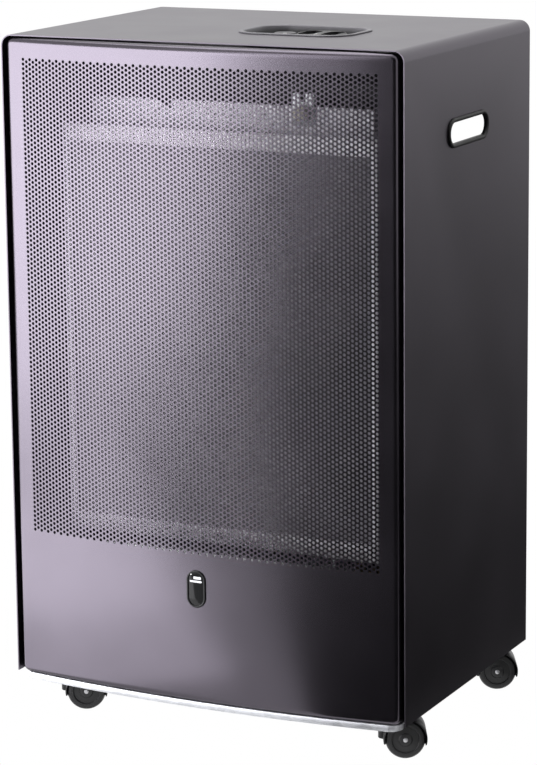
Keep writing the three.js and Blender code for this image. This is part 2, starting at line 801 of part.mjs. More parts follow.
function burnerBracket(side) {
  const x0 = side * burnerBracketX - bracketSheet / 2;
  const x1 = x0 + bracketSheet;
  const back = dividerFromFront - gap;
  const bottom = burnerZ - burnerRadius - 10;
  const top = burnerZ + burnerRadius + 5;
  const cheek = box(x0, x1, burnerFromFront - burnerRadius - 4, back, bottom, top);
  const footX = side > 0 ? x0 : x1 - burnerBracketFoot;
  const foot = box(footX, footX + burnerBracketFoot, back - bracketSheet, back, bottom, top);
  const hole = rodX(burnerRadius + gap, x0 - 1, x1 + 1, burnerFromFront, burnerZ, 24);
  return cut(join(cheek, foot), hole);
}

function injectorElbow() {
  const start = burnerHalf + gap;
  const flange = rodX(burnerRadius, start, start + 2, burnerFromFront, burnerZ, 20);
  const stub = rodX(elbowRadius, start, start + elbowReach, burnerFromFront, burnerZ, 16);
  const port = rodY(elbowRadius - 1, burnerFromFront, burnerFromFront + elbowReach, pipeX, burnerZ, 16);
  return join(flange, stub, port);
}

// Levels that share out a straight run between two others.
function risers(low, high, count) {
  return Array.from({ length: count }, (_, step) => low + ((high - low) * (step + 1)) / (count + 1));
}

// From the valve's underside along and down the back of the divider, then forward to the elbow.
function gasPipe() {
  const bend = 2 * pipeRadius;
  const front = burnerFromFront + elbowReach + gap;
  const upper = valveBottom - gap;
  const outletX = knobX + bend;
  const outletY = bezelFromFront - valveWidth / 4;
  const turnZ = upper - 5 * bend;
  const footZ = burnerZ + 2 * bend;
  const points = [
    [outletX, outletY, upper],
    [outletX, outletY, upper - bend],
    [outletX + 1.5 * bend, pipeY + pipeRadius, upper - 2.5 * bend],
    [(outletX + pipeX) / 2, pipeY, upper - 3 * bend],
    [pipeX - 2 * bend, pipeY, upper - 3.5 * bend],
    ...[turnZ, ...risers(turnZ, footZ, 3), footZ].map((z) => [pipeX, pipeY, z]),
    [pipeX, pipeY - pipeRadius, burnerZ + pipeRadius],
    [pipeX, pipeY - pipeFromDivider, burnerZ],
    [pipeX, front + bend, burnerZ],
    [pipeX, front, burnerZ],
  ];
  return tube(points, pipeRadius, 8, 44);
}

function pilotStand() {
  const half = pilotSpacing + pilotShelfMargin;
  const y = pilotFromFront;
  const back = y + pilotShelfBehind;
  const footTop = cabinetBottom + bracketSheet;
  const shelf = box(-half, half, y - pilotShelfMargin, back, shelfTop - bracketSheet, shelfTop);
  const web = box(-half, half, back - bracketSheet, back, cabinetBottom, shelfTop);
  const foot = box(-half, half, back - bracketSheet, back + pilotShelfBehind, cabinetBottom, footTop);
  const leadWindow = box(-half + 8, half - 8, y, back + 5, leadHoleZ - 8, leadHoleZ + 10);
  const holes = [
    leadWindow,
    rodZ(thermocoupleRadius + gap, shelfTop - 5, shelfTop + 5, -pilotSpacing, y, 12),
    rodZ(electrodeRadius + gap, shelfTop - 5, shelfTop + 5, pilotSpacing, y, 12),
  ];
  return cut(join(shelf, web, foot), ...holes);
}

function pilotBurner() {
  const base = shelfTop + gap;
  const profile = [
    [0, 0],
    [pilotRadius, 0],
    [pilotRadius, 3],
    [pilotRadius * 0.7, 4],
    [pilotRadius * 0.7, pilotHeight - 5],
    [pilotRadius * 0.9, pilotHeight - 4],
    [pilotRadius * 0.9, pilotHeight],
    [0, pilotHeight],
  ];
  return latheZ(profile, 16).translate(0, pilotFromFront, base);
}

function shelfRod(x, radius, below, above, tipRadius) {
  const y = pilotFromFront;
  const rod = rodZ(radius, shelfTop - below, shelfTop + above, x, y, 12);
  const collar = rodZ(radius + 2, shelfTop + gap, shelfTop + gap + 3, x, y, 12);
  const tip = rodZ(tipRadius, shelfTop + above - 1, shelfTop + above + 8, x, y, 12);
  return join(rod, collar, tip);
}

function thermocouple() {
  return shelfRod(-pilotSpacing, thermocoupleRadius, thermocoupleBelow, thermocoupleAbove, thermocoupleTip);
}

function ignitionElectrode() {
  return shelfRod(pilotSpacing, electrodeRadius, electrodeBelow, electrodeAbove, electrodeTip);
}

// From under the pilot shelf back through the divider, then up its back to the controls.
function leadTube(x, radius, lowEnd, topPoint) {
  const riseX = Math.sign(x) * leadFromMiddle;
  const lowBend = leadHoleZ + leadFromDivider;
  const highBend = valveBottom - 6 * leadFromDivider;
  const middleX = (riseX + topPoint[0]) / 2;
  const middleY = (leadBendY + topPoint[1]) / 2;
  const points = [
    [x, pilotFromFront, lowEnd],
    [x, pilotFromFront, lowEnd - 5],
    [x, pilotFromFront + leadFromDivider, leadHoleZ],
    [x, pilotFromFront + 2 * leadFromDivider, leadHoleZ],
    [riseX, dividerFromFront - 3 * leadFromDivider, leadHoleZ],
    [riseX, dividerFromFront - leadFromDivider, leadHoleZ],
    [riseX, dividerBack + 1, leadHoleZ],
    [riseX, leadBendY, lowBend],
    ...[...risers(lowBend, highBend, 4), highBend].map((z) => [riseX, leadBendY, z]),
    [middleX, middleY, valveBottom - 4 * leadFromDivider],
    [topPoint[0], topPoint[1], topPoint[2] - 10],
    topPoint,
  ];
  return tube(points, radius, 6, 44);
}

// ---- Controls ----

function bezelOutline(inset) {
  const width = bezelWidth - 2 * inset;
  const depth = bezelDepth - 2 * inset;
  return roundedRectangle(bezelFromCentre, bezelFromFront, width, depth, bezelCornerRadius - inset);
}

function controlBezel() {
  const lipTop = cabinetTop + gap + bezelLipThickness;
  const lip = extrudeZ(bezelOutline(0), cabinetTop + gap, lipTop);
  const body = extrudeZ(bezelOutline(bezelLip + gap), wellUnderside, lipTop);
  const well = extrudeZ(bezelOutline(bezelLip + gap + bezelWall), wellFloor, cabinetTop + 5);
  const through = [wellUnderside - 1, wellFloor + 1];
  const spindleHole = rodZ(spindleRadius + 1, ...through, knobX, bezelFromFront, 16);
  const plungerHole = rodZ(plungerRadius + gap, ...through, buttonX, bezelFromFront, 16);
  return cut(join(lip, body), well, spindleHole, plungerHole);
}

function controlKnob() {
  const top = cabinetTop - knobBelowTop;
  const bottom = top - knobHeight;
  const body = rodZ(knobRadius, bottom, top, knobX, bezelFromFront, 32);
  const socketTop = bottom + spindleGrip + gap;
  const socket = rodZ(spindleRadius + gap, bottom - 1, socketTop, knobX, bezelFromFront, 16);
  const scoops = [-1, 1].map((side) => {
    const x0 = knobX + side * (knobBarWidth / 2);
    const x1 = knobX + side * (knobRadius - 5);
    const scoop = new THREE.Shape();
    scoop.moveTo(x0, top + 1);
    scoop.lineTo(x1, top + 1);
    scoop.quadraticCurveTo(x1, top - knobScoopDepth, (x0 + x1) / 2, top - knobScoopDepth);
    scoop.quadraticCurveTo(x0, top - knobScoopDepth, x0, top + 1);
    const reach = knobRadius * 0.72;
    return extrudeY(scoop, bezelFromFront - reach, bezelFromFront + reach);
  });
  return cut(body, socket, ...scoops);
}

function valveSpindle() {
  const knobBottom = cabinetTop - knobBelowTop - knobHeight;
  return rodZ(spindleRadius, valveTop - 10, knobBottom + spindleGrip, knobX, bezelFromFront, 16);
}

function igniterButton() {
  const top = cabinetTop - buttonBelowTop;
  const cap = rodZ(buttonRadius, top - buttonThickness, top, buttonX, bezelFromFront, 24);
  const low = wellUnderside - gap - 4;
  return join(cap, rodZ(plungerRadius, low, top - 1, buttonX, bezelFromFront, 16));
}

function piezoBody() {
  const top = wellUnderside - gap;
  const body = rodZ(piezoRadius, top - piezoLength, top, buttonX, bezelFromFront, 20);
  return cut(body, rodZ(plungerRadius + gap, top - 5 - buttonTravel, top + 1, buttonX, bezelFromFront, 16));
}

function valveBracket() {
  const top = wellUnderside - gap;
  const half = valveWidth / 2 + 2;
  const x0 = knobX - half;
  const x1 = knobX + half;
  const legGap = bezelDepth / 2 - bezelLip + 2;
  const front = bezelFromFront - legGap;
  const back = bezelFromFront + legGap;
  const under = cabinetTop - cabinetSheet - gap;
  const plate = box(x0, x1, front - bracketSheet, back + bracketSheet, top - bracketSheet, top);
  const frontLeg = box(x0, x1, front - bracketSheet, front, top - bracketSheet, under);
  const rearLeg = box(x0, x1, back, back + bracketSheet, top - bracketSheet, under);
  const frontFoot = box(x0, x1, front - 12, front, under - bracketSheet, under);
  const rearFoot = box(x0, x1, back, back + 12, under - bracketSheet, under);
  const hole = rodZ(spindleRadius + 2, top - 5, top + 5, knobX, bezelFromFront, 16);
  return cut(join(plate, frontLeg, rearLeg, frontFoot, rearFoot), hole);
}

function gasValve() {
  const half = valveWidth / 2;
  const y = bezelFromFront;
  const neckRadius = nippleRadius + 4;
  const body = extrudeZ(roundedRectangle(knobX, y, valveWidth, valveWidth, 5), valveBottom, valveTop, 2);
  const neck = rodY(neckRadius, y + half - 1, y + half + valveNeck, knobX, valveMiddleZ, 16);
  const bore = rodZ(spindleRadius + gap, valveTop - 11 - knobTravel, valveTop + 1, knobX, y, 16);
  return cut(join(body, neck), bore);
}

function inletNipple() {
  const start = bezelFromFront + valveWidth / 2 + valveNeck + gap;
  const r = nippleRadius;
  const barb = nippleLength / 4;
  const profile = [[r * 0.5, 0], [r + 3, 0], [r + 3, 5], [r, 5]];
  for (let ring = 1; ring < 4; ring += 1) {
    profile.push([r, ring * barb], [r + 0.9, ring * barb], [r, (ring + 1) * barb - 1]);
  }
  profile.push([r * 0.5, nippleLength - 1], [r * 0.5, 0]);
  const nipple = latheZ(profile, 16).rotateX(-Math.PI / 2);
  return nipple.translate(knobX, start, valveMiddleZ);
}

// ---- Casters: built about the swivel axis with the floor at Z 0 and the wheels trailing to +X ----

const shellRadius = wheelRadius + casterRunning + casterShell;

function casterStem() {
  const top = casterHeight;
  const plate = rodZ(casterPlateRadius, top - casterPlateThickness, top, 0, 0, 20);
  return join(plate, rodZ(casterStemRadius, top - casterStemLength, top, 0, 0, 12));
}

function casterHood() {
  const bossTop = casterHeight - casterPlateThickness - gap;
  const half = casterWeb / 2 + gap + wheelWidth + gap;
  const side = (radius, y0, y1) => rodY(radius, y0, y1, casterTrail, wheelRadius, 20);
  const shell = cut(
    side(shellRadius, -half, half),
    side(shellRadius - casterShell, -half - 1, -casterWeb / 2),
    side(shellRadius - casterShell, casterWeb / 2, half + 1),
  );
  const boss = rodZ(casterBossRadius, wheelRadius - 2, bossTop, 0, 0, 20);
  const bossRoom = [
    side(wheelRadius + casterRunning, -half - 1, -casterWeb / 2),
    side(wheelRadius + casterRunning, casterWeb / 2, half + 1),
  ];
  const belowHood = polygon([
    [-30, -5],
    [60, -5],
    [60, wheelRadius - 6],
    [casterTrail, wheelRadius - 6],
    [-30, wheelRadius - 3],
  ]);
  const openings = [
    extrudeY(belowHood, -half - 5, -casterWeb / 2),
    extrudeY(belowHood, casterWeb / 2, half + 5),
  ];
  const webFoot = box(-30, 60, -casterWeb, casterWeb, -5, wheelRadius - 9);
  const flatTop = box(-40, 70, -40, 40, bossTop, 60);
  const axleHole = rodY(wheelAxleRadius + gap, -half, half, casterTrail, wheelRadius, 16);
  const stemEnd = casterHeight - casterStemLength - gap;
  const stemHole = rodZ(casterStemRadius + gap, stemEnd, 60, 0, 0, 12);
  const hood = join(shell, cut(boss, ...bossRoom));
  return cut(hood, ...openings, webFoot, flatTop, axleHole, stemHole);
}

function casterAxle() {
  const half = casterWeb / 2 + gap + wheelWidth + gap;
  return rodY(wheelAxleRadius, -half, half, casterTrail, wheelRadius, 16);
}

function casterWheel(side) {
  const r = wheelRadius;
  const bore = wheelAxleRadius + gap;
  const w = wheelWidth;
  const profile = [
    [bore, 0],
    [r - 1, 0],
    [r, 1],
    [r, w - 3],
    [r - 3, w - 0.5],
    [r - 7, w - 2],
    [r / 3, w],
    [bore, w],
    [bore, 0],
  ];
  const wheel = latheZ(profile, 20);
  wheel.rotateX(side > 0 ? -Math.PI / 2 : Math.PI / 2);
  return wheel.translate(casterTrail, side * (casterWeb / 2 + gap), r);
}

// ---- Assembly ----

const heater = new THREE.Group();
const cabinet = new THREE.Group();
cabinet.position.y = -modelMiddleY;
heater.add(cabinet);

function place(name, geometry, material, parent = cabinet) {
  const mesh = new THREE.Mesh(geometry, material);
  mesh.name = name;
  parent.add(mesh);
}

place('cabinet_wrap', cabinetWrap(), paintedSteel);
place('front_panel', frontPanel(), paintedSteel);
place('base_tray', baseTray(), galvanised);
place('divider_panel', dividerPanel(), blackSheet);
place('heat_plate', heatPlate(), aluminised);
place('rear_reflector', rearReflector(), aluminised);
place('cutout_bracket', cutoutBracket(), galvanised);
place('thermal_cutout', thermalCutout(), ceramic);
place('burner_tube', burnerTube(), steel);
place('burner_bracket_left', burnerBracket(-1), galvanised);
place('burner_bracket_right', burnerBracket(1), galvanised);
place('injector_elbow', injectorElbow(), brass);
place('gas_pipe', gasPipe(), steel);
place('pilot_stand', pilotStand(), galvanised);
place('pilot_burner', pilotBurner(), brass);
place('thermocouple', thermocouple(), steel);
place('ignition_electrode', ignitionElectrode(), ceramic);
const thermocoupleEnd = shelfTop - thermocoupleBelow - gap;
const valveLeadPoint = [knobX - valveWidth / 3, bezelFromFront - valveWidth / 4, valveBottom - gap];
const thermocoupleLine = leadTube(-pilotSpacing, thermocoupleLead, thermocoupleEnd, valveLeadPoint);
place('thermocouple_lead', thermocoupleLine, brass);
const electrodeEnd = shelfTop - electrodeBelow - gap;
const piezoLeadPoint = [buttonX, bezelFromFront, wellUnderside - 2 * gap - piezoLength];
place('ignition_lead', leadTube(pilotSpacing, leadRadius, electrodeEnd, piezoLeadPoint), rubberBlack);
place('window_bezel', windowBezel(), glossPlastic);
place('sight_glass', sightGlass(), darkGlass);
place('handle_grommet_right', handleGrommet(), blackPlastic);
place('handle_grommet_left', mirrored(handleGrommet()), blackPlastic);
place('control_bezel', controlBezel(), greyPlastic);
place('control_knob', controlKnob(), blackPlastic);
place('valve_spindle', valveSpindle(), steel);
place('igniter_button', igniterButton(), blackPlastic);
place('piezo_igniter', piezoBody(), greyPlastic);
place('gas_valve', gasValve(), brass);
place('valve_bracket', valveBracket(), galvanised);
place('inlet_nipple', inletNipple(), brass);
place('rear_cover', rearCover(), paintedSteel);
place('cover_stud_left', coverStud(-1), steel);
place('cover_stud_right', coverStud(1), steel);
place('hinge_pin_left', hingePin(-1), steel);
place('hinge_pin_right', hingePin(1), steel);

const corners = {
  front_left: [-casterX, casterFrontInset, casterAngle],
  front_right: [casterX, casterFrontInset, casterAngle],
  rear_left: [-casterX, casterRearY, rearLeftCasterAngle],
  rear_right: [casterX, casterRearY, casterAngle],
};
for (const [corner, [x, y, angle]] of Object.entries(corners)) {
  const caster = new THREE.Group();
  caster.position.set(x, y, 0);
  caster.rotation.z = THREE.MathUtils.degToRad(angle);
  cabinet.add(caster);
  place(`caster_stem_${corner}`, casterStem(), steel, caster);
  place(`caster_hood_${corner}`, casterHood(), blackPlastic, caster);
  place(`caster_axle_${corner}`, casterAxle(), steel, caster);
  place(`wheel_outer_${corner}`, casterWheel(-1), rubberBlack, caster);
  place(`wheel_inner_${corner}`, casterWheel(1), rubberBlack, caster);
}

export default heater;
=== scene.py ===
"""Portable gas cabinet heater: the finished looks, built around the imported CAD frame.

Metres, +Z up, the perforated front faces -Y. Sizes are read from the frame or written in
millimetres times MM.
"""

import json
import math

import bmesh
import bpy
from mathutils import Matrix, Vector


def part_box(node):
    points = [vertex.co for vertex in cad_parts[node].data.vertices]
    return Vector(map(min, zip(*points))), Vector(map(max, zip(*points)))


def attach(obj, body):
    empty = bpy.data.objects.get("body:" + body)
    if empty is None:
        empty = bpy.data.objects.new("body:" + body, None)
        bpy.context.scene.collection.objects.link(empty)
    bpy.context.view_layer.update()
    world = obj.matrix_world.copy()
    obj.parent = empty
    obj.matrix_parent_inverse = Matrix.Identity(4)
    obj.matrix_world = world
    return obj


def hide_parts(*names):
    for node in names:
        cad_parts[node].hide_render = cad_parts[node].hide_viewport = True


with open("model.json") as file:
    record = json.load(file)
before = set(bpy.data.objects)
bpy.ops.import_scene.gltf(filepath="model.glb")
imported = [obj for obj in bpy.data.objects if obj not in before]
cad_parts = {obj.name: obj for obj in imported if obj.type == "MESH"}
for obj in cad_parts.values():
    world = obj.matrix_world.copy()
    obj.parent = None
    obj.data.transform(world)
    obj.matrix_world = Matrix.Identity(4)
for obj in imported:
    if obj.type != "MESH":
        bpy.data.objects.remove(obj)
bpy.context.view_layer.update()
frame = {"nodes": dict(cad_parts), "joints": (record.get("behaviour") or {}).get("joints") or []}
nodes = frame["nodes"]
joints = {joint["name"]: joint for joint in frame["joints"]}

MM = 0.001
GAP = 0.3 * MM  # between pieces that touch
OVERCUT = 1 * MM  # how far a cutter reaches past a face
DEEP_OVERCUT = 5 * MM

# Camera, solved from the cabinet's edges in the photograph
CAMERA_POSITION = Vector((1.4318, -2.8988, 1.0633))
CAMERA_YAW = math.radians(26.60)
CAMERA_PITCH = math.radians(11.278)
CAMERA_ROLL = math.radians(-0.603)
FOCAL_LENGTH = 141.18
SENSOR_LONG_SIDE = 36.0
PHOTO_HEIGHT = 765
FRAMING_PIXELS = -60

# Cabinet shell
SHEET = 1.2 * MM
CABINET_CORNER = 12 * MM
CABINET_CORNER_STEPS = 14
REBATE_DEPTH = 14 * MM
REBATE_FLANGE = 16 * MM
REAR_FLANGE = 12 * MM
FOOT_FLANGE = 17 * MM
STUD_HOLE = 3.5 * MM
EDGE_BREAK = 0.3 * MM

# Front panel
PANEL_SHEET = 1.0 * MM
PANEL_EDGE = 6 * MM
PANEL_CORNER = 8 * MM
PANEL_CORNER_STEPS = 5
PILLOW_STEPS = 6
WINDOW_SEAT = 1.1 * MM

# Perforation: 3.5 mm holes, 5 mm apart
HOLE_PITCH = 5 * MM
HOLE_RADIUS = 1.75 * MM
HOLE_COLUMNS = 95
HOLE_ROWS = 103
HOLE_SIDES = 12
FIELD_ABOVE_BOTTOM = 419 * MM
MESH_PARTS = 4

# Pressed middle of the heat plate
PLATE_MARGIN = 18.5 * MM
PLATE_SIDE_MARGIN = 8 * MM

# Rims and sleeves
WINDOW_WALL = 3.1 * MM
HANDLE_LIP = 3.3 * MM
HANDLE_OPENING = 4.55 * MM
BEZEL_CORNER = 32 * MM
BEZEL_LIP = 4.3 * MM
BEZEL_WALL = 6.1 * MM
WELL_DEPTH = 24 * MM
# Painted shade in the control well fades in over this depth below the cabinet's top
WELL_SHADE_DEPTH = 5 * MM

# Slats (left, right, low, high) and glint bead, from the middle of the window's front; the bead
# stands as a rivet, and its white paints a glint on the rim
SLATS = ((-2.8, 6.2, 10.7, 13.6), (-7.2, 7.0, 7.2, 9.3))
SLAT_CORNER = 0.5 * MM
SLAT_FRONT = 0.1 * MM
SLAT_BACK = 0.45 * MM
GLINT_BEAD_PLACE = (-6.1 * MM, 0.65 * MM, 16 * MM)

# Controls
SPINDLE_HOLE = 5 * MM
BUTTON_HOLE = 5.3 * MM
KNOB_SOCKET = 4.3 * MM
KNOB_SOCKET_DEPTH = 10.3 * MM
KNOB_FLUTES = 24
KNOB_STEPS = 144
FLUTE_DEPTH = 0.5 * MM
SCOOP_FROM_MIDDLE = 13.2 * MM
SCOOP_HALF_WIDTH = 8.7 * MM
SCOOP_HALF_LENGTH = 18.5 * MM
SCOOP_CORNER = 8 * MM
POINTER_FROM_MIDDLE = 15 * MM
POINTER_WIDTH = 1.6 * MM
POINTER_LENGTH = 9 * MM
BUTTON_SKIRT = 7 * MM
BUTTON_STEM = 5 * MM
BUTTON_DOT = 2.2 * MM

# Rear cover, its louvres and its hinge lugs
COVER_BEND_HALF = 214.7 * MM
COVER_FLAT_HALF = 168.7 * MM
COVER_BEND_RADIUS = 4 * MM
COVER_ABOVE_CABINET_FOOT = 6 * MM
COVER_STUD_HOLE = 2.3 * MM
LOUVRE_ROWS = 6
LOUVRE_PITCH = 22 * MM
LOUVRE_LOWEST = 330 * MM
LOUVRE_FROM_MIDDLE = 67 * MM
LOUVRE_LENGTH = 110 * MM
LOUVRE_HEIGHT = 6 * MM
LOUVRE_SLOT_CORNER = 2.9 * MM
HOOD_DEPTH = 4 * MM
HOOD_HALF_HEIGHT = 3.6 * MM
HOOD_SHEET = 0.8 * MM
HOOD_STEPS = 8
HOOD_FIRST_STEP = 3
HOOD_COLUMNS = 12
LUG_FROM_MIDDLE = 219 * MM
LUG_SHEET = 1.5 * MM
LUG_RADIUS = 5 * MM
LUG_FOOT = 12 * MM
LUG_BORE = 2.8 * MM

# Casters, about the swivel axis
CORNERS = ("front_left", "front_right", "rear_left", "rear_right")
WHEEL_WIDTH = 14 * MM
CASTER_WEB = 8 * MM
CASTER_SHELL = 1.4 * MM
CASTER_CLEARANCE = 0.8 * MM
CASTER_BOSS = 8 * MM
AXLE_BORE = 2.8 * MM
STEM_RADIUS = 4 * MM
STEM_LENGTH = 17 * MM
STEM_FLANGE = 2 * MM
STEM_FLANGE_RADIUS = 11 * MM
HOOD_MOUTH = 6 * MM

wrap_low, wrap_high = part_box("cabinet_wrap")
panel_low, panel_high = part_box("front_panel")
window_low, window_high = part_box("window_bezel")
glass_low, glass_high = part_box("sight_glass")
bezel_low, bezel_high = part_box("control_bezel")
knob_low, knob_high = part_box("control_knob")
button_low, button_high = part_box("igniter_button")
cover_low, cover_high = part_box("rear_cover")

bow_depth = wrap_low.y - panel_low.y
bow_radius = (wrap_high.x**2 + bow_depth**2) / (2 * bow_depth)


def bow(x):
    """Y of the bowed front face at a distance from the middle."""
    return panel_low.y + bow_radius - math.sqrt(bow_radius**2 - x * x)


# ---- Materials ----


def new_material(name, color, roughness, metallic=0.0, **sockets):
    material = bpy.data.materials.new(name)
    material.use_nodes = True
    shader = shader_of(material)
    shader.inputs["Base Color"].default_value = (*color, 1)
    shader.inputs["Roughness"].default_value = roughness
    shader.inputs["Metallic"].default_value = metallic
    for socket, value in sockets.items():
        shader.inputs[socket.replace("_", " ")].default_value = value
    return material


def add_node(owner, kind, **settings):
    node = owner.node_tree.nodes.new("ShaderNode" + kind)
    for key, value in settings.items():
        if key in node.inputs:
            node.inputs[key].default_value = value
        else:
            setattr(node, key, value)
    return node


def link(owner, source, target):
    owner.node_tree.links.new(source, target)


def shader_of(material):
    return material.node_tree.nodes["Principled BSDF"]


def object_place(material):
    """The point in its piece's own frame."""
    return add_node(material, "TexCoord").outputs["Object"]


def object_axes(material):
    split = add_node(material, "SeparateXYZ")
    link(material, object_place(material), split.inputs["Vector"])
    return split.outputs


def noise(material, scale, detail=3.0):
    """Noise in the piece's own frame: scale is in grains to the metre."""
    texture = add_node(material, "TexNoise", Scale=scale, Detail=detail)
    link(material, object_place(material), texture.inputs["Vector"])
    return texture.outputs["Fac"]


def calculated(owner, operation, *operands):
    """The result of a sum on numbers or sockets."""
    node = add_node(owner, "Math", operation=operation)
    for socket, operand in zip(node.inputs, operands):
        if isinstance(operand, bpy.types.NodeSocket):
            link(owner, operand, socket)
        else:
            socket.default_value = operand
    return node.outputs["Value"]


def map_range(owner, factor, source_span, target_span):
    node = add_node(owner, "MapRange")
    names = ("From Min", "From Max", "To Min", "To Max")
    for name, value in zip(names, (*source_span, *target_span)):
        node.inputs[name].default_value = value
    link(owner, factor, node.inputs["Value"])
    return node.outputs["Result"]


def spread(material, factor, low, high):
    """The noise's usual span, stretched from low to high."""
    return map_range(material, factor, (0.3, 0.7), (low, high))


def mixed(material, factor, first, second):
    """A mix of the two, each a colour or a socket that gives one."""
    mix = add_node(material, "Mix", data_type="RGBA")
    sockets = [socket for socket in mix.inputs if socket.type == "RGBA"]
    for socket, color in zip(sockets, (first, second)):
        if isinstance(color, bpy.types.NodeSocket):
            link(material, color, socket)
        else:
            socket.default_value = (*color, 1)
    link(material, factor, mix.inputs["Factor"])
    return next(socket for socket in mix.outputs if socket.type == "RGBA")


def vary(material, factor, color, change, roughness, swing):
    """Colour and roughness that drift with the factor."""
    shader = shader_of(material)
    darker = [value * (1 - change) for value in color]
    lighter = [value * (1 + change) for value in color]
    tone = mixed(material, spread(material, factor, 0, 1), darker, lighter)
    link(material, tone, shader.inputs["Base Color"])
    drift = spread(material, factor, roughness - swing, roughness + swing)
    link(material, drift, shader.inputs["Roughness"])


def add_bump(material, height, strength, depth):
    bump = add_node(material, "Bump", Strength=strength, Distance=depth)
    link(material, height, bump.inputs["Height"])
    link(material, bump.outputs["Normal"], shader_of(material).inputs["Normal"])


def varied(
    name, color, roughness, metallic, drift, change, swing, grain, strength, depth, **sockets
):
    """A finish whose tone drifts slowly, with a fine grain in its surface.

    Drift and grain are in features to the metre. The colour drifts by the share change, and
    the roughness by swing. Strength and depth belong to the grain.
    """
    material = new_material(name, color, roughness, metallic, **sockets)
    vary(material, noise(material, drift), color, change, roughness, swing)
    add_bump(material, noise(material, grain, 2.0), strength, depth)
    return material


# What finishes share, from their drift on
COAT = (9, 0.06, 0.02, 1400)
SHEET_METAL = (25, 0.04, 0.05, 700, 0.06, 0.2 * MM)
FITTING = (60, 0.1, 0.08, 900, 0.06, 0.1 * MM)
MATT = (60, 0.05, 0.05, 900, 0.1, 0.1 * MM)
GREY_GRAIN = (30, 0.1, 0.05, 2200, 0.15, 0.1 * MM)

PAINT = (0.098, 0.088, 0.106)
paint = varied("graphite_powder_coat", PAINT, 0.34, 0.95, *COAT, 0.08, 0.2 * MM)
panel_paint = varied("graphite_panel", PAINT, 0.23, 0.95, *COAT, 0.06, 0.2 * MM)
black_plastic = varied(
    "black_plastic", (0.008, 0.008, 0.009), 0.38, 0, 30, 0.15, 0.06, 2500, 0.2, 0.1 * MM,
    Specular_IOR_Level=0.25,
)
# Matt black sheet for the divider: partly its own black paint, partly painted shade for the dark
# void behind the grille's upper holes
black_sheet = varied(
    "black_sheet", (0.030, 0.030, 0.031), 0.6, 0.2, 25, 0.1, 0.05, 700, 0.06, 0.2 * MM
)
grey_plastic = varied("grey_plastic", (0.06, 0.058, 0.065), 0.42, 0, *GREY_GRAIN)
gloss_black = varied(
    "gloss_black", (0.006, 0.006, 0.007), 0.12, 0, 40, 0.1, 0.03, 60, 0.02, 0.1 * MM,
    Specular_IOR_Level=0.2,
)
tread = varied("wheel_nylon", (0.015, 0.015, 0.016), 0.5, 0, 60, 0.2, 0.08, 1500, 0.2, 0.1 * MM)
aluminised = varied("aluminised_sheet", (0.86, 0.84, 0.90), 0.45, 0.25, *SHEET_METAL)
zinc_steel = varied("zinc_plated_steel", (0.55, 0.55, 0.57), 0.32, 0.9, *FITTING)
brass = varied("machined_brass", (0.66, 0.47, 0.20), 0.30, 0.9, *FITTING)
copper = varied("copper_lead", (0.72, 0.38, 0.22), 0.30, 0.9, *FITTING)
ceramic = varied("ceramic", (0.80, 0.76, 0.68), 0.55, 0, *MATT)
sleeve = varied("silicone_sleeve", (0.62, 0.58, 0.5), 0.6, 0, *MATT)
white_mark = varied("white_mark", (0.8, 0.8, 0.8), 0.5, 0, 60, 0.04, 0.04, 900, 0.05, 0.1 * MM)
ZINC = (0.62, 0.63, 0.66)
# Colour of the heat plate's pressed middle, darker than its margin
DARKER_PLATE_MIDDLE = (0.25, 0.24, 0.265)
# Colour of the shade painted into the bottom of the control well
WELL_SHADE = (0.012, 0.012, 0.013)


def galvanised_sheet():
    """Zinc spangle: flat patches of slightly different tone, a few millimetres across."""
    roughness = 0.42
    material = new_material("galvanised_sheet", ZINC, roughness, 0.6)
    spangle = add_node(material, "TexVoronoi", Scale=120.0)
    link(material, object_place(material), spangle.inputs["Vector"])
    split = add_node(material, "SeparateColor")
    link(material, spangle.outputs["Color"], split.inputs["Color"])
    vary(material, split.outputs["Red"], ZINC, 0.05, roughness, 0.04)
    add_bump(material, noise(material, 500, 2.0), 0.05, 0.1 * MM)
    return material


def smoked_glass():
    material = new_material(
        "dark_glass", (0.006, 0.006, 0.007), 0.06, Transmission_Weight=0.25, Specular_IOR_Level=0.1
    )
    add_bump(material, noise(material, 40, 1.0), 0.02, 0.1 * MM)
    return material


def pressed_plate():
    """Bright aluminised margin round a darker pressed middle."""
    low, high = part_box("heat_plate")
    material = varied("heat_plate_sheet", (0.90, 0.88, 0.93), 0.48, 0.18, *SHEET_METAL)
    axes = object_axes(material)
    half_height = (high.z - low.z) / 2 - PLATE_MARGIN
    halves = (("X", 0, high.x - PLATE_SIDE_MARGIN), ("Z", (low.z + high.z) / 2, half_height))
    within = []
    for axis, center, half in halves:
        offset = calculated(material, "SUBTRACT", axes[axis], center)
        reach = calculated(material, "ABSOLUTE", offset)
        within.append(map_range(material, reach, (half - MM, half + MM), (1, 0)))
    color = shader_of(material).inputs["Base Color"]
    margin_tone = color.links[0].from_socket
    inside = calculated(material, "MULTIPLY", *within)
    link(material, mixed(material, inside, margin_tone, DARKER_PLATE_MIDDLE), color)
    return material


def well_with_painted_shade():
    """Grey plastic at the rim, with painted shade that makes it much darker down in the well."""
    material = varied("well_plastic_painted_shade", (0.16, 0.155, 0.17), 0.42, 0, *GREY_GRAIN)
    levels = (wrap_high.z - WELL_SHADE_DEPTH, wrap_high.z)
    height = map_range(material, object_axes(material)["Z"], levels, (0, 1))
    color = shader_of(material).inputs["Base Color"]
    link(material, mixed(material, height, WELL_SHADE, color.links[0].from_socket), color)
    return material


galvanised = galvanised_sheet()
# The control well's plastic carries painted shade, darker towards the well's floor
well_plastic_painted_shade = well_with_painted_shade()
dark_glass = smoked_glass()
heat_plate_sheet = pressed_plate()


# ---- Meshes ----


def circle(center_u, center_v, radius, steps=64):
    turns = [2 * math.pi * step / steps for step in range(steps)]
    return [(center_u + radius * math.cos(a), center_v + radius * math.sin(a)) for a in turns]


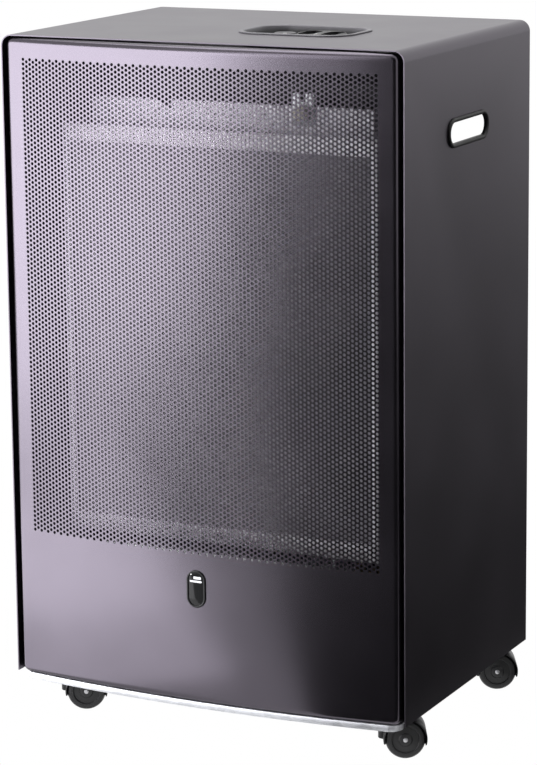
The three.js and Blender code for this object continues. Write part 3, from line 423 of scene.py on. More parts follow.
def rounded_outline(center_u, center_v, width, height, radius, steps=12):
    """A rounded rectangle; a stadium where the radius is half of its height or width."""
    points = []
    for quarter, (side_u, side_v) in enumerate(((1, 1), (-1, 1), (-1, -1), (1, -1))):
        arc_u = center_u + side_u * (width / 2 - radius)
        arc_v = center_v + side_v * (height / 2 - radius)
        for step in range(steps + 1):
            angle = math.pi / 2 * (quarter + step / steps)
            points.append((arc_u + radius * math.cos(angle), arc_v + radius * math.sin(angle)))
    return points


def raised(outline, axis, level):
    """The 2-D outline as a ring across the axis, at a level along it."""
    at = "XYZ".index(axis)
    return [Vector((*point[:at], level, *point[at:])) for point in outline]


def from_origin(u, v, *pairs):
    """Pairs in millimetres, as points in metres from the origin u, v."""
    return [(u + a * MM, v + b * MM) for a, b in pairs]


def nested(box_low, box_high, axis, radius, profile, steps=12):
    """Rings of one rounded outline, each at its own inset and level."""
    kept = [index for index in range(3) if "XYZ"[index] != axis]
    center = [(box_low[index] + box_high[index]) / 2 for index in kept]
    size = [box_high[index] - box_low[index] for index in kept]
    rings = []
    for inset, level in profile:
        smaller = [length - 2 * inset for length in size]
        corner = min(radius - inset, min(smaller) / 2)
        rings.append(raised(rounded_outline(*center, *smaller, corner, steps), axis, level))
    return rings


def stacked(rings, closed=False):
    """A solid skinned over rings: capped at both ends, or joined from last to first."""
    bm = bmesh.new()
    loops = [[bm.verts.new(point) for point in ring] for ring in rings]
    pairs = list(zip(loops, loops[1:]))
    if closed:
        pairs.append((loops[-1], loops[0]))
    for low, high in pairs:
        for index in range(len(low)):
            after = (index + 1) % len(low)
            bm.faces.new((low[index], low[after], high[after], high[index]))
    if not closed:
        bm.faces.new(loops[0])
        bm.faces.new(loops[-1])
    bmesh.ops.remove_doubles(bm, verts=bm.verts, dist=1e-6)
    bmesh.ops.recalc_face_normals(bm, faces=bm.faces)
    return bm


def prism(outline, axis, start, end):
    return stacked([raised(outline, axis, start), raised(outline, axis, end)])


def box(x0, x1, y0, y1, z0, z1):
    return prism([(x0, y0), (x1, y0), (x1, y1), (x0, y1)], "Z", z0, z1)


def turned_rings(profile, steps=64):
    """Rings about Z, one for each (radius, height) pair."""
    return [raised(circle(0, 0, radius, steps), "Z", height) for radius, height in profile]


def moved(bm, matrix):
    bmesh.ops.transform(bm, matrix=matrix, verts=bm.verts)
    return bm


def object_of(bm, name="part"):
    mesh = bpy.data.meshes.new(name)
    bm.to_mesh(mesh)
    bm.free()
    made = bpy.data.objects.new(name, mesh)
    bpy.context.scene.collection.objects.link(made)
    return made


def mesh_of(made):
    """The object's mesh on its own; the object goes."""
    bm = bmesh.new()
    bm.from_mesh(made.data)
    bpy.data.objects.remove(made)
    return bm


def settle(made):
    """Applies the object's modifiers to its mesh."""
    graph = bpy.context.evaluated_depsgraph_get()
    graph.update()
    applied = bpy.data.meshes.new_from_object(made.evaluated_get(graph))
    made.modifiers.clear()
    made.data = applied
    return made


def combined(base, operation, *tools, solver="EXACT"):
    """The base after a union with, or a cut by, each tool in turn."""
    made = base if isinstance(base, bpy.types.Object) else object_of(base)
    cutters = [object_of(tool, "tool") for tool in tools]
    for cutter in cutters:
        step = made.modifiers.new("step", "BOOLEAN")
        step.operation = operation
        step.object = cutter
        step.solver = solver
    settle(made)
    for cutter in cutters:
        bpy.data.objects.remove(cutter)
    return made


def soften(made, width, segments, angle):
    """Rounds the edges that turn by more than the angle."""
    edge = made.modifiers.new("edge", "BEVEL")
    edge.width = width
    edge.segments = segments
    edge.limit_method = "ANGLE"
    edge.angle_limit = math.radians(angle)
    edge.harden_normals = True


def dress(made, name, material, body, slot=None, replaces=(), bevel=0.0, smooth=35.0):
    """Names the piece, shades it, softens its sharp edges and rides it on its body."""
    made = made if isinstance(made, bpy.types.Object) else object_of(made)
    made.name = made.data.name = name
    bm = bmesh.new()
    bm.from_mesh(made.data)
    for face in bm.faces:
        face.smooth = smooth > 0
    for edge in bm.edges:
        edge.smooth = len(edge.link_faces) == 2 and edge.calc_face_angle() < math.radians(smooth)
    bm.to_mesh(made.data)
    bm.free()
    if bevel:
        soften(made, bevel, 3, smooth)
    made.data.materials.clear()
    made.data.materials.append(material)
    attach(made, body)
    if replaces:
        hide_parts(*replaces)
    return made


# ---- Cabinet shell ----


def cabinet_outline(inset, drop=0.0):
    """The cabinet from the front: open corners at the floor, rounded ones at the top."""
    half = wrap_high.x - inset
    top = wrap_high.z - inset
    radius = CABINET_CORNER - inset
    points = [(-half, wrap_low.z - drop), (half, wrap_low.z - drop)]
    for side, start in ((1, 0), (-1, math.pi / 2)):
        for step in range(CABINET_CORNER_STEPS + 1):
            angle = start + math.pi / 2 * step / CABINET_CORNER_STEPS
            x = side * (half - radius) + radius * math.cos(angle)
            points.append((x, top - radius + radius * math.sin(angle)))
    return points


def cabinet_flange(y0, y1, width):
    ring = prism(cabinet_outline(SHEET / 2), "Y", y0, y1)
    hollow = prism(cabinet_outline(SHEET + width, OVERCUT), "Y", y0 - OVERCUT, y1 + OVERCUT)
    return mesh_of(combined(ring, "DIFFERENCE", hollow))


def stadium_of(node, inset):
    low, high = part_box(node)
    height = high.z - low.z - 2 * inset
    center = (low.y + high.y) / 2, (low.z + high.z) / 2
    return rounded_outline(*center, high.y - low.y - 2 * inset, height, height / 2)


def stud_hole(side, radius, y0, y1):
    """A cutter on the axis of a rear cover stud."""
    low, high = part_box("cover_stud_right")
    center = side * (low.x + high.x) / 2, (low.z + high.z) / 2
    return prism(circle(*center, radius, 20), "Y", y0, y1)


def cabinet_shell():
    front, back = wrap_low.y, wrap_high.y
    outer = prism(cabinet_outline(0), "Y", front, back)
    hollow = prism(cabinet_outline(SHEET, OVERCUT), "Y", front - OVERCUT, back + OVERCUT)
    shell = combined(outer, "DIFFERENCE", hollow)
    half = wrap_high.x - SHEET / 2
    foot = wrap_high.x - SHEET - FOOT_FLANGE
    floor = (wrap_low.z, wrap_low.z + SHEET)
    rebate = front + REBATE_DEPTH
    combined(
        shell,
        "UNION",
        cabinet_flange(rebate, rebate + SHEET, REBATE_FLANGE),
        cabinet_flange(back - SHEET, back, REAR_FLANGE),
        box(foot, half, rebate, back, *floor),
        box(-half, -foot, rebate, back, *floor),
    )
    size = bezel_high - bezel_low
    center = (bezel_high + bezel_low) / 2
    inset = BEZEL_LIP - GAP
    well = rounded_outline(
        center.x, center.y, size.x - 2 * inset, size.y - 2 * inset, BEZEL_CORNER - inset
    )
    reach = wrap_high.x + DEEP_OVERCUT
    combined(
        shell,
        "DIFFERENCE",
        prism(stadium_of("handle_grommet_right", HANDLE_LIP - GAP), "X", -reach, reach),
        prism(well, "Z", bezel_low.z, wrap_high.z + DEEP_OVERCUT),
        *[stud_hole(side, STUD_HOLE, back - DEEP_OVERCUT, back + DEEP_OVERCUT) for side in (-1, 1)],
    )
    dress(shell, "cabinet_shell", paint, "cabinet", "painted_steel", ["cabinet_wrap"], 0.35 * MM)


# ---- Front panel ----

column_step = HOLE_PITCH * math.sin(math.pi / 3)
cell_radius = HOLE_PITCH / math.sqrt(3)
field_middle = panel_low.z + FIELD_ABOVE_BOTTOM
field_half_width = (HOLE_COLUMNS - 1) / 2 * column_step + cell_radius
field_half_height = HOLE_ROWS / 2 * HOLE_PITCH


def stretch(start, end, count):
    return [start + (end - start) * step / count for step in range(count + 1)]


def joined(*runs):
    """Runs of numbers end to end, without the doubled ends."""
    values = list(runs[0])
    for run in runs[1:]:
        values.extend(run[1:])
    return values


def border_outline(xs, zs, inset):
    """The panel's outline: four runs of grid points, each followed by a rounded corner."""
    radius = PANEL_CORNER - inset
    corner_x, low_z, high_z = xs[-1], zs[0], zs[-1]
    runs = (
        [(x, high_z + radius) for x in reversed(xs)],
        [(-corner_x - radius, z) for z in reversed(zs)],
        [(x, low_z - radius) for x in xs],
        [(corner_x + radius, z) for z in zs],
    )
    corners = ((-corner_x, high_z), (-corner_x, low_z), (corner_x, low_z), (corner_x, high_z))
    points = []
    for quarter, (run, (u, v)) in enumerate(zip(runs, corners), start=1):
        points.extend(run)
        for step in range(1, PANEL_CORNER_STEPS):
            angle = math.pi / 2 * (quarter + step / PANEL_CORNER_STEPS)
            points.append((u + radius * math.cos(angle), v + radius * math.sin(angle)))
    return points


def border_grid(bm, xs, zs, field_low, field_high):
    """The flat margin's vertices and faces, open where the perforation goes."""
    grid = [[bm.verts.new((x, bow(x), z)) for z in zs] for x in xs]
    for i in range(len(xs) - 1):
        for j in range(len(zs) - 1):
            middle_x, middle_z = (xs[i] + xs[i + 1]) / 2, (zs[j] + zs[j + 1]) / 2
            if abs(middle_x) < field_half_width and field_low < middle_z < field_high:
                continue
            bm.faces.new((grid[i][j], grid[i + 1][j], grid[i + 1][j + 1], grid[i][j + 1]))
    for column in grid:
        for vertex in column:
            if not vertex.link_faces:
                bm.verts.remove(vertex)
    return grid


def join_grid_to_loop(bm, grid, loop):
    """Quads along the grid's four sides and a fan at each of its corners."""
    sides = (
        [column[-1] for column in reversed(grid)],
        list(reversed(grid[0])),
        [column[0] for column in grid],
        list(grid[-1]),
    )
    start = 0
    for run in sides:
        for index in range(len(run) - 1):
            first = start + index
            bm.faces.new((run[index], run[index + 1], loop[first + 1], loop[first]))
        start += len(run)
        for step in range(PANEL_CORNER_STEPS):
            first = start - 1 + step
            bm.faces.new((run[-1], loop[(first + 1) % len(loop)], loop[first]))
        start += PANEL_CORNER_STEPS - 1


def panel_border():
    """The panel's plain margin with its pillowed edge and the hole for the sight window."""
    corner_x = panel_high.x - PANEL_CORNER
    low_z, high_z = panel_low.z + PANEL_CORNER, panel_high.z - PANEL_CORNER
    field_low, field_high = field_middle - field_half_height, field_middle + field_half_height
    xs = joined(
        stretch(-corner_x, -field_half_width, 2),
        stretch(-field_half_width, field_half_width, 48),
        stretch(field_half_width, corner_x, 2),
    )
    zs = joined(
        stretch(low_z, field_low, 12),
        stretch(field_low, field_high, 16),
        stretch(field_high, high_z, 2),
    )
    bm = bmesh.new()
    grid = border_grid(bm, xs, zs, field_low, field_high)
    bend_x = panel_high.x - PANEL_EDGE
    loops = []
    for step in range(PILLOW_STEPS + 1):
        angle = math.pi / 2 * step / PILLOW_STEPS
        depth = PANEL_EDGE * (1 - math.cos(angle))
        loop = []
        for x, z in border_outline(xs, zs, PANEL_EDGE * (1 - math.sin(angle))):
            level = bow(max(-bend_x, min(bend_x, x))) + depth
            loop.append(bm.verts.new((x, level, z)))
        loops.append(loop)
    loops.append([bm.verts.new((x, panel_high.y, z)) for x, z in border_outline(xs, zs, 0)])
    count = len(loops[0])
    for low, high in zip(loops, loops[1:]):
        for index in range(count):
            after = (index + 1) % count
            bm.faces.new((low[index], low[after], high[after], high[index]))
    join_grid_to_loop(bm, grid, loops[0])
    bmesh.ops.recalc_face_normals(bm, faces=bm.faces)
    front = min(bm.faces, key=lambda face: face.calc_center_median().y)
    if front.normal.y > 0:
        bmesh.ops.reverse_faces(bm, faces=bm.faces)
    border = object_of(bm)
    sheet = border.modifiers.new("sheet", "SOLIDIFY")
    sheet.thickness = PANEL_SHEET
    sheet.offset = -1
    settle(border)
    width = window_high.x - window_low.x - 2 * WINDOW_SEAT
    height = window_high.z - window_low.z - 2 * WINDOW_SEAT
    center = 0, (window_low.z + window_high.z) / 2
    outline = rounded_outline(*center, width, height, width / 2, 16)
    hole = prism(outline, "Y", panel_low.y - DEEP_OVERCUT, panel_low.y + DEEP_OVERCUT)
    combined(border, "DIFFERENCE", hole)
    made = "front_panel_sheet", panel_paint, "cabinet", "painted_steel", ["front_panel"]
    dress(border, *made, 0, 30)


def perforated_part(first, last, name):
    """Columns of hexagonal cells, each with a round hole; every second column is shifted."""
    verts, faces, lookup = [], [], {}

    def corner(x, z):
        key = round(x * 1e6), round(z * 1e6)
        if key not in lookup:
            lookup[key] = len(verts)
            verts.append((x, z))
        return lookup[key]

    def cell(x, z):
        rim = []
        for side in range(6):
            angle = math.pi / 3 * side
            point = x + cell_radius * math.cos(angle), z + cell_radius * math.sin(angle)
            rim.append(corner(*point))
        start = len(verts)
        verts.extend(circle(x, z, HOLE_RADIUS, HOLE_SIDES))
        for side in range(6):
            hole = [start + (2 * side + turn) % HOLE_SIDES for turn in (2, 1, 0)]
            faces.append((rim[side], rim[(side + 1) % 6], *hole))

    def fill_shifted_end(x, edge):
        level = edge * field_half_height
        low = level - edge * HOLE_PITCH / 2
        half = cell_radius / 2
        below = corner(x - half, low), corner(x + half, low)
        faces.append((*below, corner(x + cell_radius, level), corner(x - cell_radius, level)))

    def fill_field_side(x, side):
        outer, inner = x + side * cell_radius, x + side * cell_radius / 2
        for row in range(HOLE_ROWS - 1):
            z = (row - (HOLE_ROWS - 1) / 2) * HOLE_PITCH
            notch = corner(inner, z + HOLE_PITCH / 2)
            faces.append((corner(outer, z), notch, corner(outer, z + HOLE_PITCH)))
        for edge in (-1, 1):
            level = edge * field_half_height
            end = corner(outer, level - edge * HOLE_PITCH / 2)
            faces.append((corner(outer, level), corner(inner, level), end))

    for column in range(first, last):
        x = (column - (HOLE_COLUMNS - 1) / 2) * column_step
        shorter = column % 2
        rows = HOLE_ROWS - shorter
        for row in range(rows):
            cell(x, (row - (rows - 1) / 2) * HOLE_PITCH)
        if shorter:
            fill_shifted_end(x, -1)
            fill_shifted_end(x, 1)
        if column in (0, HOLE_COLUMNS - 1):
            fill_field_side(x, -1 if column == 0 else 1)
    dress(bowed_sheet(verts, faces), name, panel_paint, "cabinet", "painted_steel", smooth=0)


def bowed_sheet(verts, faces):
    """The flat pattern bent to the front's bow and thickened, with its rims walled."""
    uses = {}
    for face in faces:
        for vertex, after in zip(face, (*face[1:], face[0])):
            pair = (min(vertex, after), max(vertex, after))
            uses[pair] = uses.get(pair, 0) + 1
    rims = [pair for pair, count in uses.items() if count == 1]
    behind = len(verts)
    front = [(x, bow(x), z + field_middle) for x, z in verts]
    back = [(x, y + PANEL_SHEET, z) for x, y, z in front]
    back_faces = [tuple(vertex + behind for vertex in reversed(face)) for face in faces]
    walls = [(a, b, b + behind, a + behind) for a, b in rims]
    mesh = bpy.data.meshes.new("sheet")
    mesh.from_pydata(front + back, [], faces + back_faces + walls)
    mesh.validate()
    bm = bmesh.new()
    bm.from_mesh(mesh)
    bmesh.ops.recalc_face_normals(bm, faces=bm.faces)
    bpy.data.meshes.remove(mesh)
    return bm


# ---- Window, handles and controls ----


def window():
    front, back = window_low.y, window_high.y
    seat = panel_low.y - GAP
    lip = from_origin(0, front, (0, 0.3), (0.3, 0), (1.9, 0), (2.4, 0.3))
    inner = [(WINDOW_WALL, front + 1.4 * MM), (WINDOW_WALL, back)]
    profile = [(0, seat), *lip, *inner, (1.4 * MM, back), (1.4 * MM, seat)]
    rim = stacked(nested(window_low, window_high, "Y", 1, profile, 16), closed=True)
    dress(rim, "window_rim", gloss_black, "cabinet", "gloss_black", ["window_bezel"], 0, 50)
    face = glass_low.y
    dome = from_origin(0, face, (0, 0), (0.6, -0.08), (2.5, -0.2), (5.5, -0.3), (8, -0.34))
    dome.insert(0, (0, glass_high.y))
    pane = stacked(nested(glass_low, glass_high, "Y", 1, dome, 16))
    dress(pane, "window_pane", dark_glass, "cabinet", "dark_glass", ["sight_glass"], 0, 50)


def window_fittings():
    """Two slats across the top of the opening and a white bead on the rim, standing as a rivet,
    whose white paints a glint there.
    """
    middle = (window_low.z + window_high.z) / 2
    front = window_low.y
    for number, (x0, x1, z0, z1) in enumerate(SLATS, start=1):
        center = (x0 + x1) / 2 * MM, middle + (z0 + z1) / 2 * MM
        outline = rounded_outline(*center, (x1 - x0) * MM, (z1 - z0) * MM, SLAT_CORNER, 4)
        slat = prism(outline, "Y", front + SLAT_FRONT, front + SLAT_BACK)
        dress(slat, f"window_slat_{number}", zinc_steel, "cabinet", bevel=0.1 * MM)
    profile = from_origin(0, 0, (1.3, 0), (1.25, 0.25), (0.9, 0.5), (0.4, 0.62))
    seat = Matrix.Translation(Vector(GLINT_BEAD_PLACE) + Vector((0, front, middle)))
    glint_bead = moved(stacked(turned_rings(profile, 24)), seat @ Matrix.Rotation(math.pi / 2, 4, "X"))
    # The bead's matt white is a painted glint on the window rim
    dress(glint_bead, "window_glint_bead", white_mark, "cabinet", smooth=60)


def handle(side):
    node = "handle_grommet_right" if side > 0 else "handle_grommet_left"
    low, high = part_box(node)
    skin = wrap_high.x + GAP
    face = max(abs(low.x), abs(high.x))
    end = min(abs(low.x), abs(high.x))
    lip = from_origin(0, face, (0, -1), (0.4, -0.35), (1.2, 0), (3, 0), (4, -0.4))
    inner = [(HANDLE_OPENING, face - 1.3 * MM), (HANDLE_OPENING, end)]
    profile = [(0, skin), *lip, *inner, (HANDLE_LIP, end), (HANDLE_LIP, skin)]
    rings = nested(low, high, "X", 1, [(inset, side * level) for inset, level in profile], 16)
    name = node.replace("grommet", "rim")
    rim = stacked(rings, closed=True)
    dress(rim, name, black_plastic, "cabinet", "black_plastic", [node], 0, 50)


knob_x = (knob_low.x + knob_high.x) / 2
button_x = (button_low.x + button_high.x) / 2
controls_y = (knob_low.y + knob_high.y) / 2


def control_panel():
    top = bezel_high.z
    skin = wrap_high.z + GAP
    floor = wrap_high.z - WELL_DEPTH
    lip = from_origin(0, top, (0, -0.5), (0.5, 0), (4.2, 0), (5.2, -0.3))
    foot = from_origin(BEZEL_WALL, floor, (0, 3), (0.9, 0.9), (3, 0))
    profile = [(BEZEL_LIP, bezel_low.z), (BEZEL_LIP, skin), (0, skin), *lip]
    profile += [(BEZEL_WALL, top - 1.4 * MM), *foot]
    well = stacked(nested(bezel_low, bezel_high, "Z", BEZEL_CORNER, profile, 16))
    span = bezel_low.z - OVERCUT, floor + OVERCUT
    made = combined(
        well,
        "DIFFERENCE",
        prism(circle(knob_x, controls_y, SPINDLE_HOLE, 32), "Z", *span),
        prism(circle(button_x, controls_y, BUTTON_HOLE, 32), "Z", *span),
    )
    dress(made, "control_well", well_plastic_painted_shade, "cabinet", "grey_plastic", ["control_bezel"], 0, 40)


def fluted_ring(radius, height, flute):
    ring = []
    for step in range(KNOB_STEPS):
        angle = 2 * math.pi * step / KNOB_STEPS
        reach = radius - flute * max(0.0, math.cos(KNOB_FLUTES * angle)) ** 2
        ring.append(Vector((reach * math.cos(angle), reach * math.sin(angle), height)))
    return ring


def knob_scoop(side, top):
    """The hollow beside the grip bar, deepest in its middle."""
    center = side * SCOOP_FROM_MIDDLE
    profile = from_origin(0, top, (0, 1), (0, -2), (0.6, -5), (2.2, -7), (4.5, -8))
    low_corner = Vector((center - SCOOP_HALF_WIDTH, -SCOOP_HALF_LENGTH, 0))
    high_corner = Vector((center + SCOOP_HALF_WIDTH, SCOOP_HALF_LENGTH, 0))
    return stacked(nested(low_corner, high_corner, "Z", SCOOP_CORNER, profile, 10))


def control_knob():
    """A fluted knob with a grip bar left standing between two scoops."""
    radius = (knob_high.x - knob_low.x) / 2
    low, top = knob_low.z, knob_high.z
    foot = from_origin(radius, low, (-0.6, 0), (0, 0.8))
    crown = from_origin(radius, top, (0, -2.2), (-0.5, -0.9), (-1.6, -0.2), (-3, 0))
    fluted_top = top - 1 * MM
    rings = []
    for ring_radius, height in foot + crown:
        flute = FLUTE_DEPTH if height < fluted_top else 0.0
        rings.append(fluted_ring(ring_radius, height, flute))
    socket = prism(circle(0, 0, KNOB_SOCKET, 32), "Z", low - OVERCUT, low + KNOB_SOCKET_DEPTH)
    scoops = [knob_scoop(side, top) for side in (-1, 1)]
    made = combined(stacked(rings), "DIFFERENCE", *scoops, socket)
    made.data.transform(Matrix.Translation((knob_x, controls_y, 0)))
    dress(made, "knob", black_plastic, "control_knob", "black_plastic", ["control_knob"], 0, 40)
    center = knob_x, controls_y - POINTER_FROM_MIDDLE
    pointer = rounded_outline(*center, POINTER_WIDTH, POINTER_LENGTH, 0.79 * MM, 6)
    mark = prism(pointer, "Z", top - 0.3 * MM, top + 0.12 * MM)
    dress(mark, "knob_pointer", white_mark, "control_knob")


def igniter_button():
    radius = (button_high.x - button_low.x) / 2
    top = button_high.z
    skirt = top - BUTTON_SKIRT
    crown = from_origin(radius, top, (0, -1.4), (-0.5, -0.4), (-1.5, 0), (-3, -0.3), (-6, -0.9))
    profile = [
        (BUTTON_STEM, button_low.z), (BUTTON_STEM, skirt),
        *from_origin(radius, skirt, (-0.3, 0), (0, 0.4)), *crown, (2 * MM, top - 1.1 * MM),
    ]
    place = Matrix.Translation((button_x, controls_y, 0))
    button = moved(stacked(turned_rings(profile)), place)
    slot = "black_plastic"
    dress(button, "push_button", grey_plastic, "igniter_button", slot, ["igniter_button"], 0, 40)
    outline = circle(button_x, controls_y, BUTTON_DOT, 24)
    dot = prism(outline, "Z", top - 1.3 * MM, top - 0.9 * MM)
    dress(dot, "button_dot", white_mark, "igniter_button")


# ---- Rear cover ----


def filleted(points, radius, steps=6):
    """The polyline with each inner corner turned on an arc."""
    path = [Vector(points[0])]
    for before, at, after in zip(points, points[1:], points[2:]):
        before, at, after = Vector(before), Vector(at), Vector(after)
        inward, outward = (before - at).normalized(), (after - at).normalized()
        half = inward.angle(outward) / 2
        reach = radius / math.tan(half)
        start, end = at + inward * reach, at + outward * reach
        middle = at + (inward + outward).normalized() * (radius / math.sin(half))
        first, last = start - middle, end - middle
        turn = first.angle_signed(last)
        for step in range(steps + 1):
            rotation = Matrix.Rotation(-turn * step / steps, 2)
            path.append(middle + rotation @ first)
    path.append(Vector(points[-1]))
    return path


def bent_sheet(points, radius, thickness):
    """Outline of a folded sheet: the filleted polyline and the same line set off to its left."""
    path = filleted(points, radius)
    offset = []
    for index, point in enumerate(path):
        before = path[max(index - 1, 0)]
        after = path[min(index + 1, len(path) - 1)]
        along = (after - before).normalized()
        offset.append(point + Vector((-along.y, along.x)) * thickness)
    return [tuple(point) for point in path] + [tuple(point) for point in reversed(offset)]


def hinge_lug(side, low, front):
    """A drilled lug that carries the cover on its hinge pin."""
    inner = side * LUG_FROM_MIDDLE
    outer = inner + side * LUG_SHEET
    x0, x1 = min(inner, outer), max(inner, outer)
    y, z = joints["rear_cover_tilt"]["pos_m"][1:]
    turns = [-math.pi * step / 12 for step in range(1, 12)]
    outline = [
        (y - LUG_RADIUS, z), (y - 4 * MM, low + 3 * MM), (front + 0.6 * MM, low + LUG_FOOT),
        (y + LUG_RADIUS, low + LUG_FOOT), (y + LUG_RADIUS, z),
        *[(y + LUG_RADIUS * math.cos(a), z + LUG_RADIUS * math.sin(a)) for a in turns],
    ]
    bore = prism(circle(y, z, LUG_BORE, 24), "X", x0 - OVERCUT, x1 + OVERCUT)
    return mesh_of(combined(prism(outline, "X", x0, x1), "DIFFERENCE", bore))


def louvre_hood(x, z, back):
    """A shallow scoop inside the sheet, over a louvre's slot."""
    bm = bmesh.new()
    rows = []
    for step in range(HOOD_FIRST_STEP, HOOD_STEPS + 1):
        angle = math.pi * step / HOOD_STEPS
        reach = LOUVRE_LENGTH / 2 * (1 - 0.05 * (1 - math.sin(angle)))
        depth = HOOD_DEPTH * math.sin(angle)
        height = z + LOUVRE_HEIGHT / 2 - HOOD_HALF_HEIGHT * math.cos(angle)
        row = []
        for column in range(HOOD_COLUMNS + 1):
            share = 2 * column / HOOD_COLUMNS - 1
            level = back - SHEET - depth * (1 - abs(share) ** 8)
            row.append(bm.verts.new((x + share * reach, level, height)))
        rows.append(row)
    for low, high in zip(rows, rows[1:]):
        for index in range(HOOD_COLUMNS):
            bm.faces.new((low[index], low[index + 1], high[index + 1], high[index]))
    hood = object_of(bm)
    hood.modifiers.new("sheet", "SOLIDIFY").thickness = HOOD_SHEET
    return settle(hood)


def rear_cover():
    """A folded cover with louvres pressed inwards and two hinge lugs at its foot."""
    front, back = wrap_high.y + GAP, cover_high.y
    low = wrap_low.z + COVER_ABOVE_CABINET_FOOT
    half, fold = cover_high.x, front + SHEET
    right = [(half, fold), (COVER_BEND_HALF, fold), (COVER_FLAT_HALF, back)]
    line = right + [(-x, y) for x, y in reversed(right)]
    sheet = prism(bent_sheet(line, COVER_BEND_RADIUS, SHEET), "Z", low, cover_high.z)
    louvres = [
        (side * LOUVRE_FROM_MIDDLE, low + LOUVRE_LOWEST + LOUVRE_PITCH * row)
        for row in range(LOUVRE_ROWS)
        for side in (-1, 1)
    ]
    cutters = []
    for x, z in louvres:
        center = x, z + LOUVRE_HEIGHT / 2
        slot = rounded_outline(*center, LOUVRE_LENGTH, LOUVRE_HEIGHT, LOUVRE_SLOT_CORNER, 6)
        cutters.append(prism(slot, "Y", back - DEEP_OVERCUT, back + DEEP_OVERCUT))
    for side in (-1, 1):
        cutters.append(stud_hole(side, COVER_STUD_HOLE, front - 2 * MM, front + DEEP_OVERCUT))
    made = combined(sheet, "DIFFERENCE", *cutters)
    combined(made, "UNION", *[hinge_lug(side, low, front) for side in (-1, 1)])
    body = "rear_cover"
    dress(made, "rear_cover_sheet", paint, body, "painted_steel", ["rear_cover"], EDGE_BREAK)
    for number, (x, z) in enumerate(louvres, start=1):
        hood = louvre_hood(x, z, back)
        dress(hood, f"louvre_{number:02d}", paint, body, "painted_steel", smooth=60)


# ---- Casters ----


def caster_place(corner):
    """The caster's own frame: Z up through its stem, X along its trail, from the joints."""
    swivel = Vector(joints[f"swivel_{corner}"]["pos_m"])
    hub = Vector(joints[f"roll_outer_{corner}"]["pos_m"])
    trail = hub - swivel
    angle = math.atan2(trail.y, trail.x)
    place = Matrix.Translation((swivel.x, swivel.y, 0)) @ Matrix.Rotation(angle, 4, "Z")
    return place, math.hypot(trail.x, trail.y), hub.z


def wheel(radius):
    """Tread with rounded shoulders and a dished outer face, from the web outwards."""
    inside = from_origin(radius, 0, (-1.2, 0), (-0.3, 0.4), (0, 1.3))
    outside = from_origin(
        radius, WHEEL_WIDTH,
        (0, -4.5), (-0.5, -2.6), (-1.8, -1.1), (-4, -0.5), (-6.2, -0.8), (-7.2, -2.2),
    )
    middle = from_origin(0, WHEEL_WIDTH, (7.5, -1.8), (6.2, -0.2), (5.6, 0))
    profile = [(AXLE_BORE, 0), *inside, *outside, *middle, (AXLE_BORE, WHEEL_WIDTH)]
    return stacked(turned_rings(profile, 72), closed=True)


def caster_stem(top):
    flange = top - STEM_FLANGE
    profile = [
        *from_origin(STEM_RADIUS, top - STEM_LENGTH, (-0.6, 0), (0, 0.7)), (STEM_RADIUS, flange),
        *from_origin(STEM_FLANGE_RADIUS, flange, (-0.4, 0), (0, 0.4)), (STEM_FLANGE_RADIUS, top),
    ]
    return stacked(turned_rings(profile, 48))


def caster_hood(trail, hub, stem_top):
    """A shell over both wheels with a boss for the stem, open below and bored for the axle."""
    radius = hub + CASTER_CLEARANCE + CASTER_SHELL
    web = CASTER_WEB / 2
    half = web + GAP + WHEEL_WIDTH + GAP
    turned_y = Matrix.Translation((trail, 0, hub)) @ Matrix.Rotation(math.pi / 2, 4, "X")

    def drum(profile):
        return moved(stacked(turned_rings(profile, 72)), turned_y)

    edge = [(0.0, radius - 2.6 * MM), (0.7 * MM, radius - 1.0 * MM), (2.2 * MM, radius)]
    outer = [(r, -half + y) for y, r in edge] + [(r, half - y) for y, r in reversed(edge)]
    shell = object_of(drum(outer))
    boss_top = stem_top - STEM_FLANGE - GAP
    boss = prism(circle(0, 0, CASTER_BOSS, 48), "Z", hub - 2 * MM, boss_top)
    combined(shell, "UNION", boss, solver="MANIFOLD")
    hollow = hub + CASTER_CLEARANCE
    fore, aft, under, over = -30 * MM, 60 * MM, -5 * MM, 60 * MM
    mouth = hub - HOOD_MOUTH
    below = [(fore, under), (aft, under), (aft, mouth), (trail, mouth), (fore, hub - 3 * MM)]
    far = half + DEEP_OVERCUT
    tools = [
        drum([(hollow, web), (hollow, half + OVERCUT)]),
        drum([(hollow, -half - OVERCUT), (hollow, -web)]),
        prism(below, "Y", web, far),
        prism(below, "Y", -far, -web),
        box(fore, aft, -CASTER_WEB, CASTER_WEB, under, hub - 9 * MM),
        box(-40 * MM, 70 * MM, -40 * MM, 40 * MM, boss_top, over),
        prism(circle(0, 0, STEM_RADIUS + GAP, 32), "Z", stem_top - STEM_LENGTH - GAP, over),
        drum([(AXLE_BORE, -half - OVERCUT), (AXLE_BORE, half + OVERCUT)]),
    ]
    combined(shell, "DIFFERENCE", *tools, solver="MANIFOLD")
    return shell


def caster(corner):
    place, trail, hub = caster_place(corner)
    stem_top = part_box("caster_stem_front_left")[1].z
    hood = caster_hood(trail, hub, stem_top)
    hood.data.transform(place)
    body, node = f"caster_{corner}", f"caster_hood_{corner}"
    slot = "black_plastic"
    dress(hood, f"hood_{corner}", black_plastic, body, slot, [node], EDGE_BREAK, 40)
    stem, node = moved(caster_stem(stem_top), place), f"caster_stem_{corner}"
    dress(stem, f"stem_{corner}", zinc_steel, "cabinet", "plain_steel", [node], 0, 40)
    for side, label in ((-1, "outer"), (1, "inner")):
        spin = Matrix.Rotation(-side * math.pi / 2, 4, "X")
        seat = Matrix.Translation((trail, side * (CASTER_WEB / 2 + GAP), hub))
        made, node = moved(wheel(hub), place @ seat @ spin), f"wheel_{label}_{corner}"
        dress(made, f"twin_{label}_{corner}", tread, node, "wheel_tread", [node], 0, 30)


# ---- Carried-over CAD nodes ----

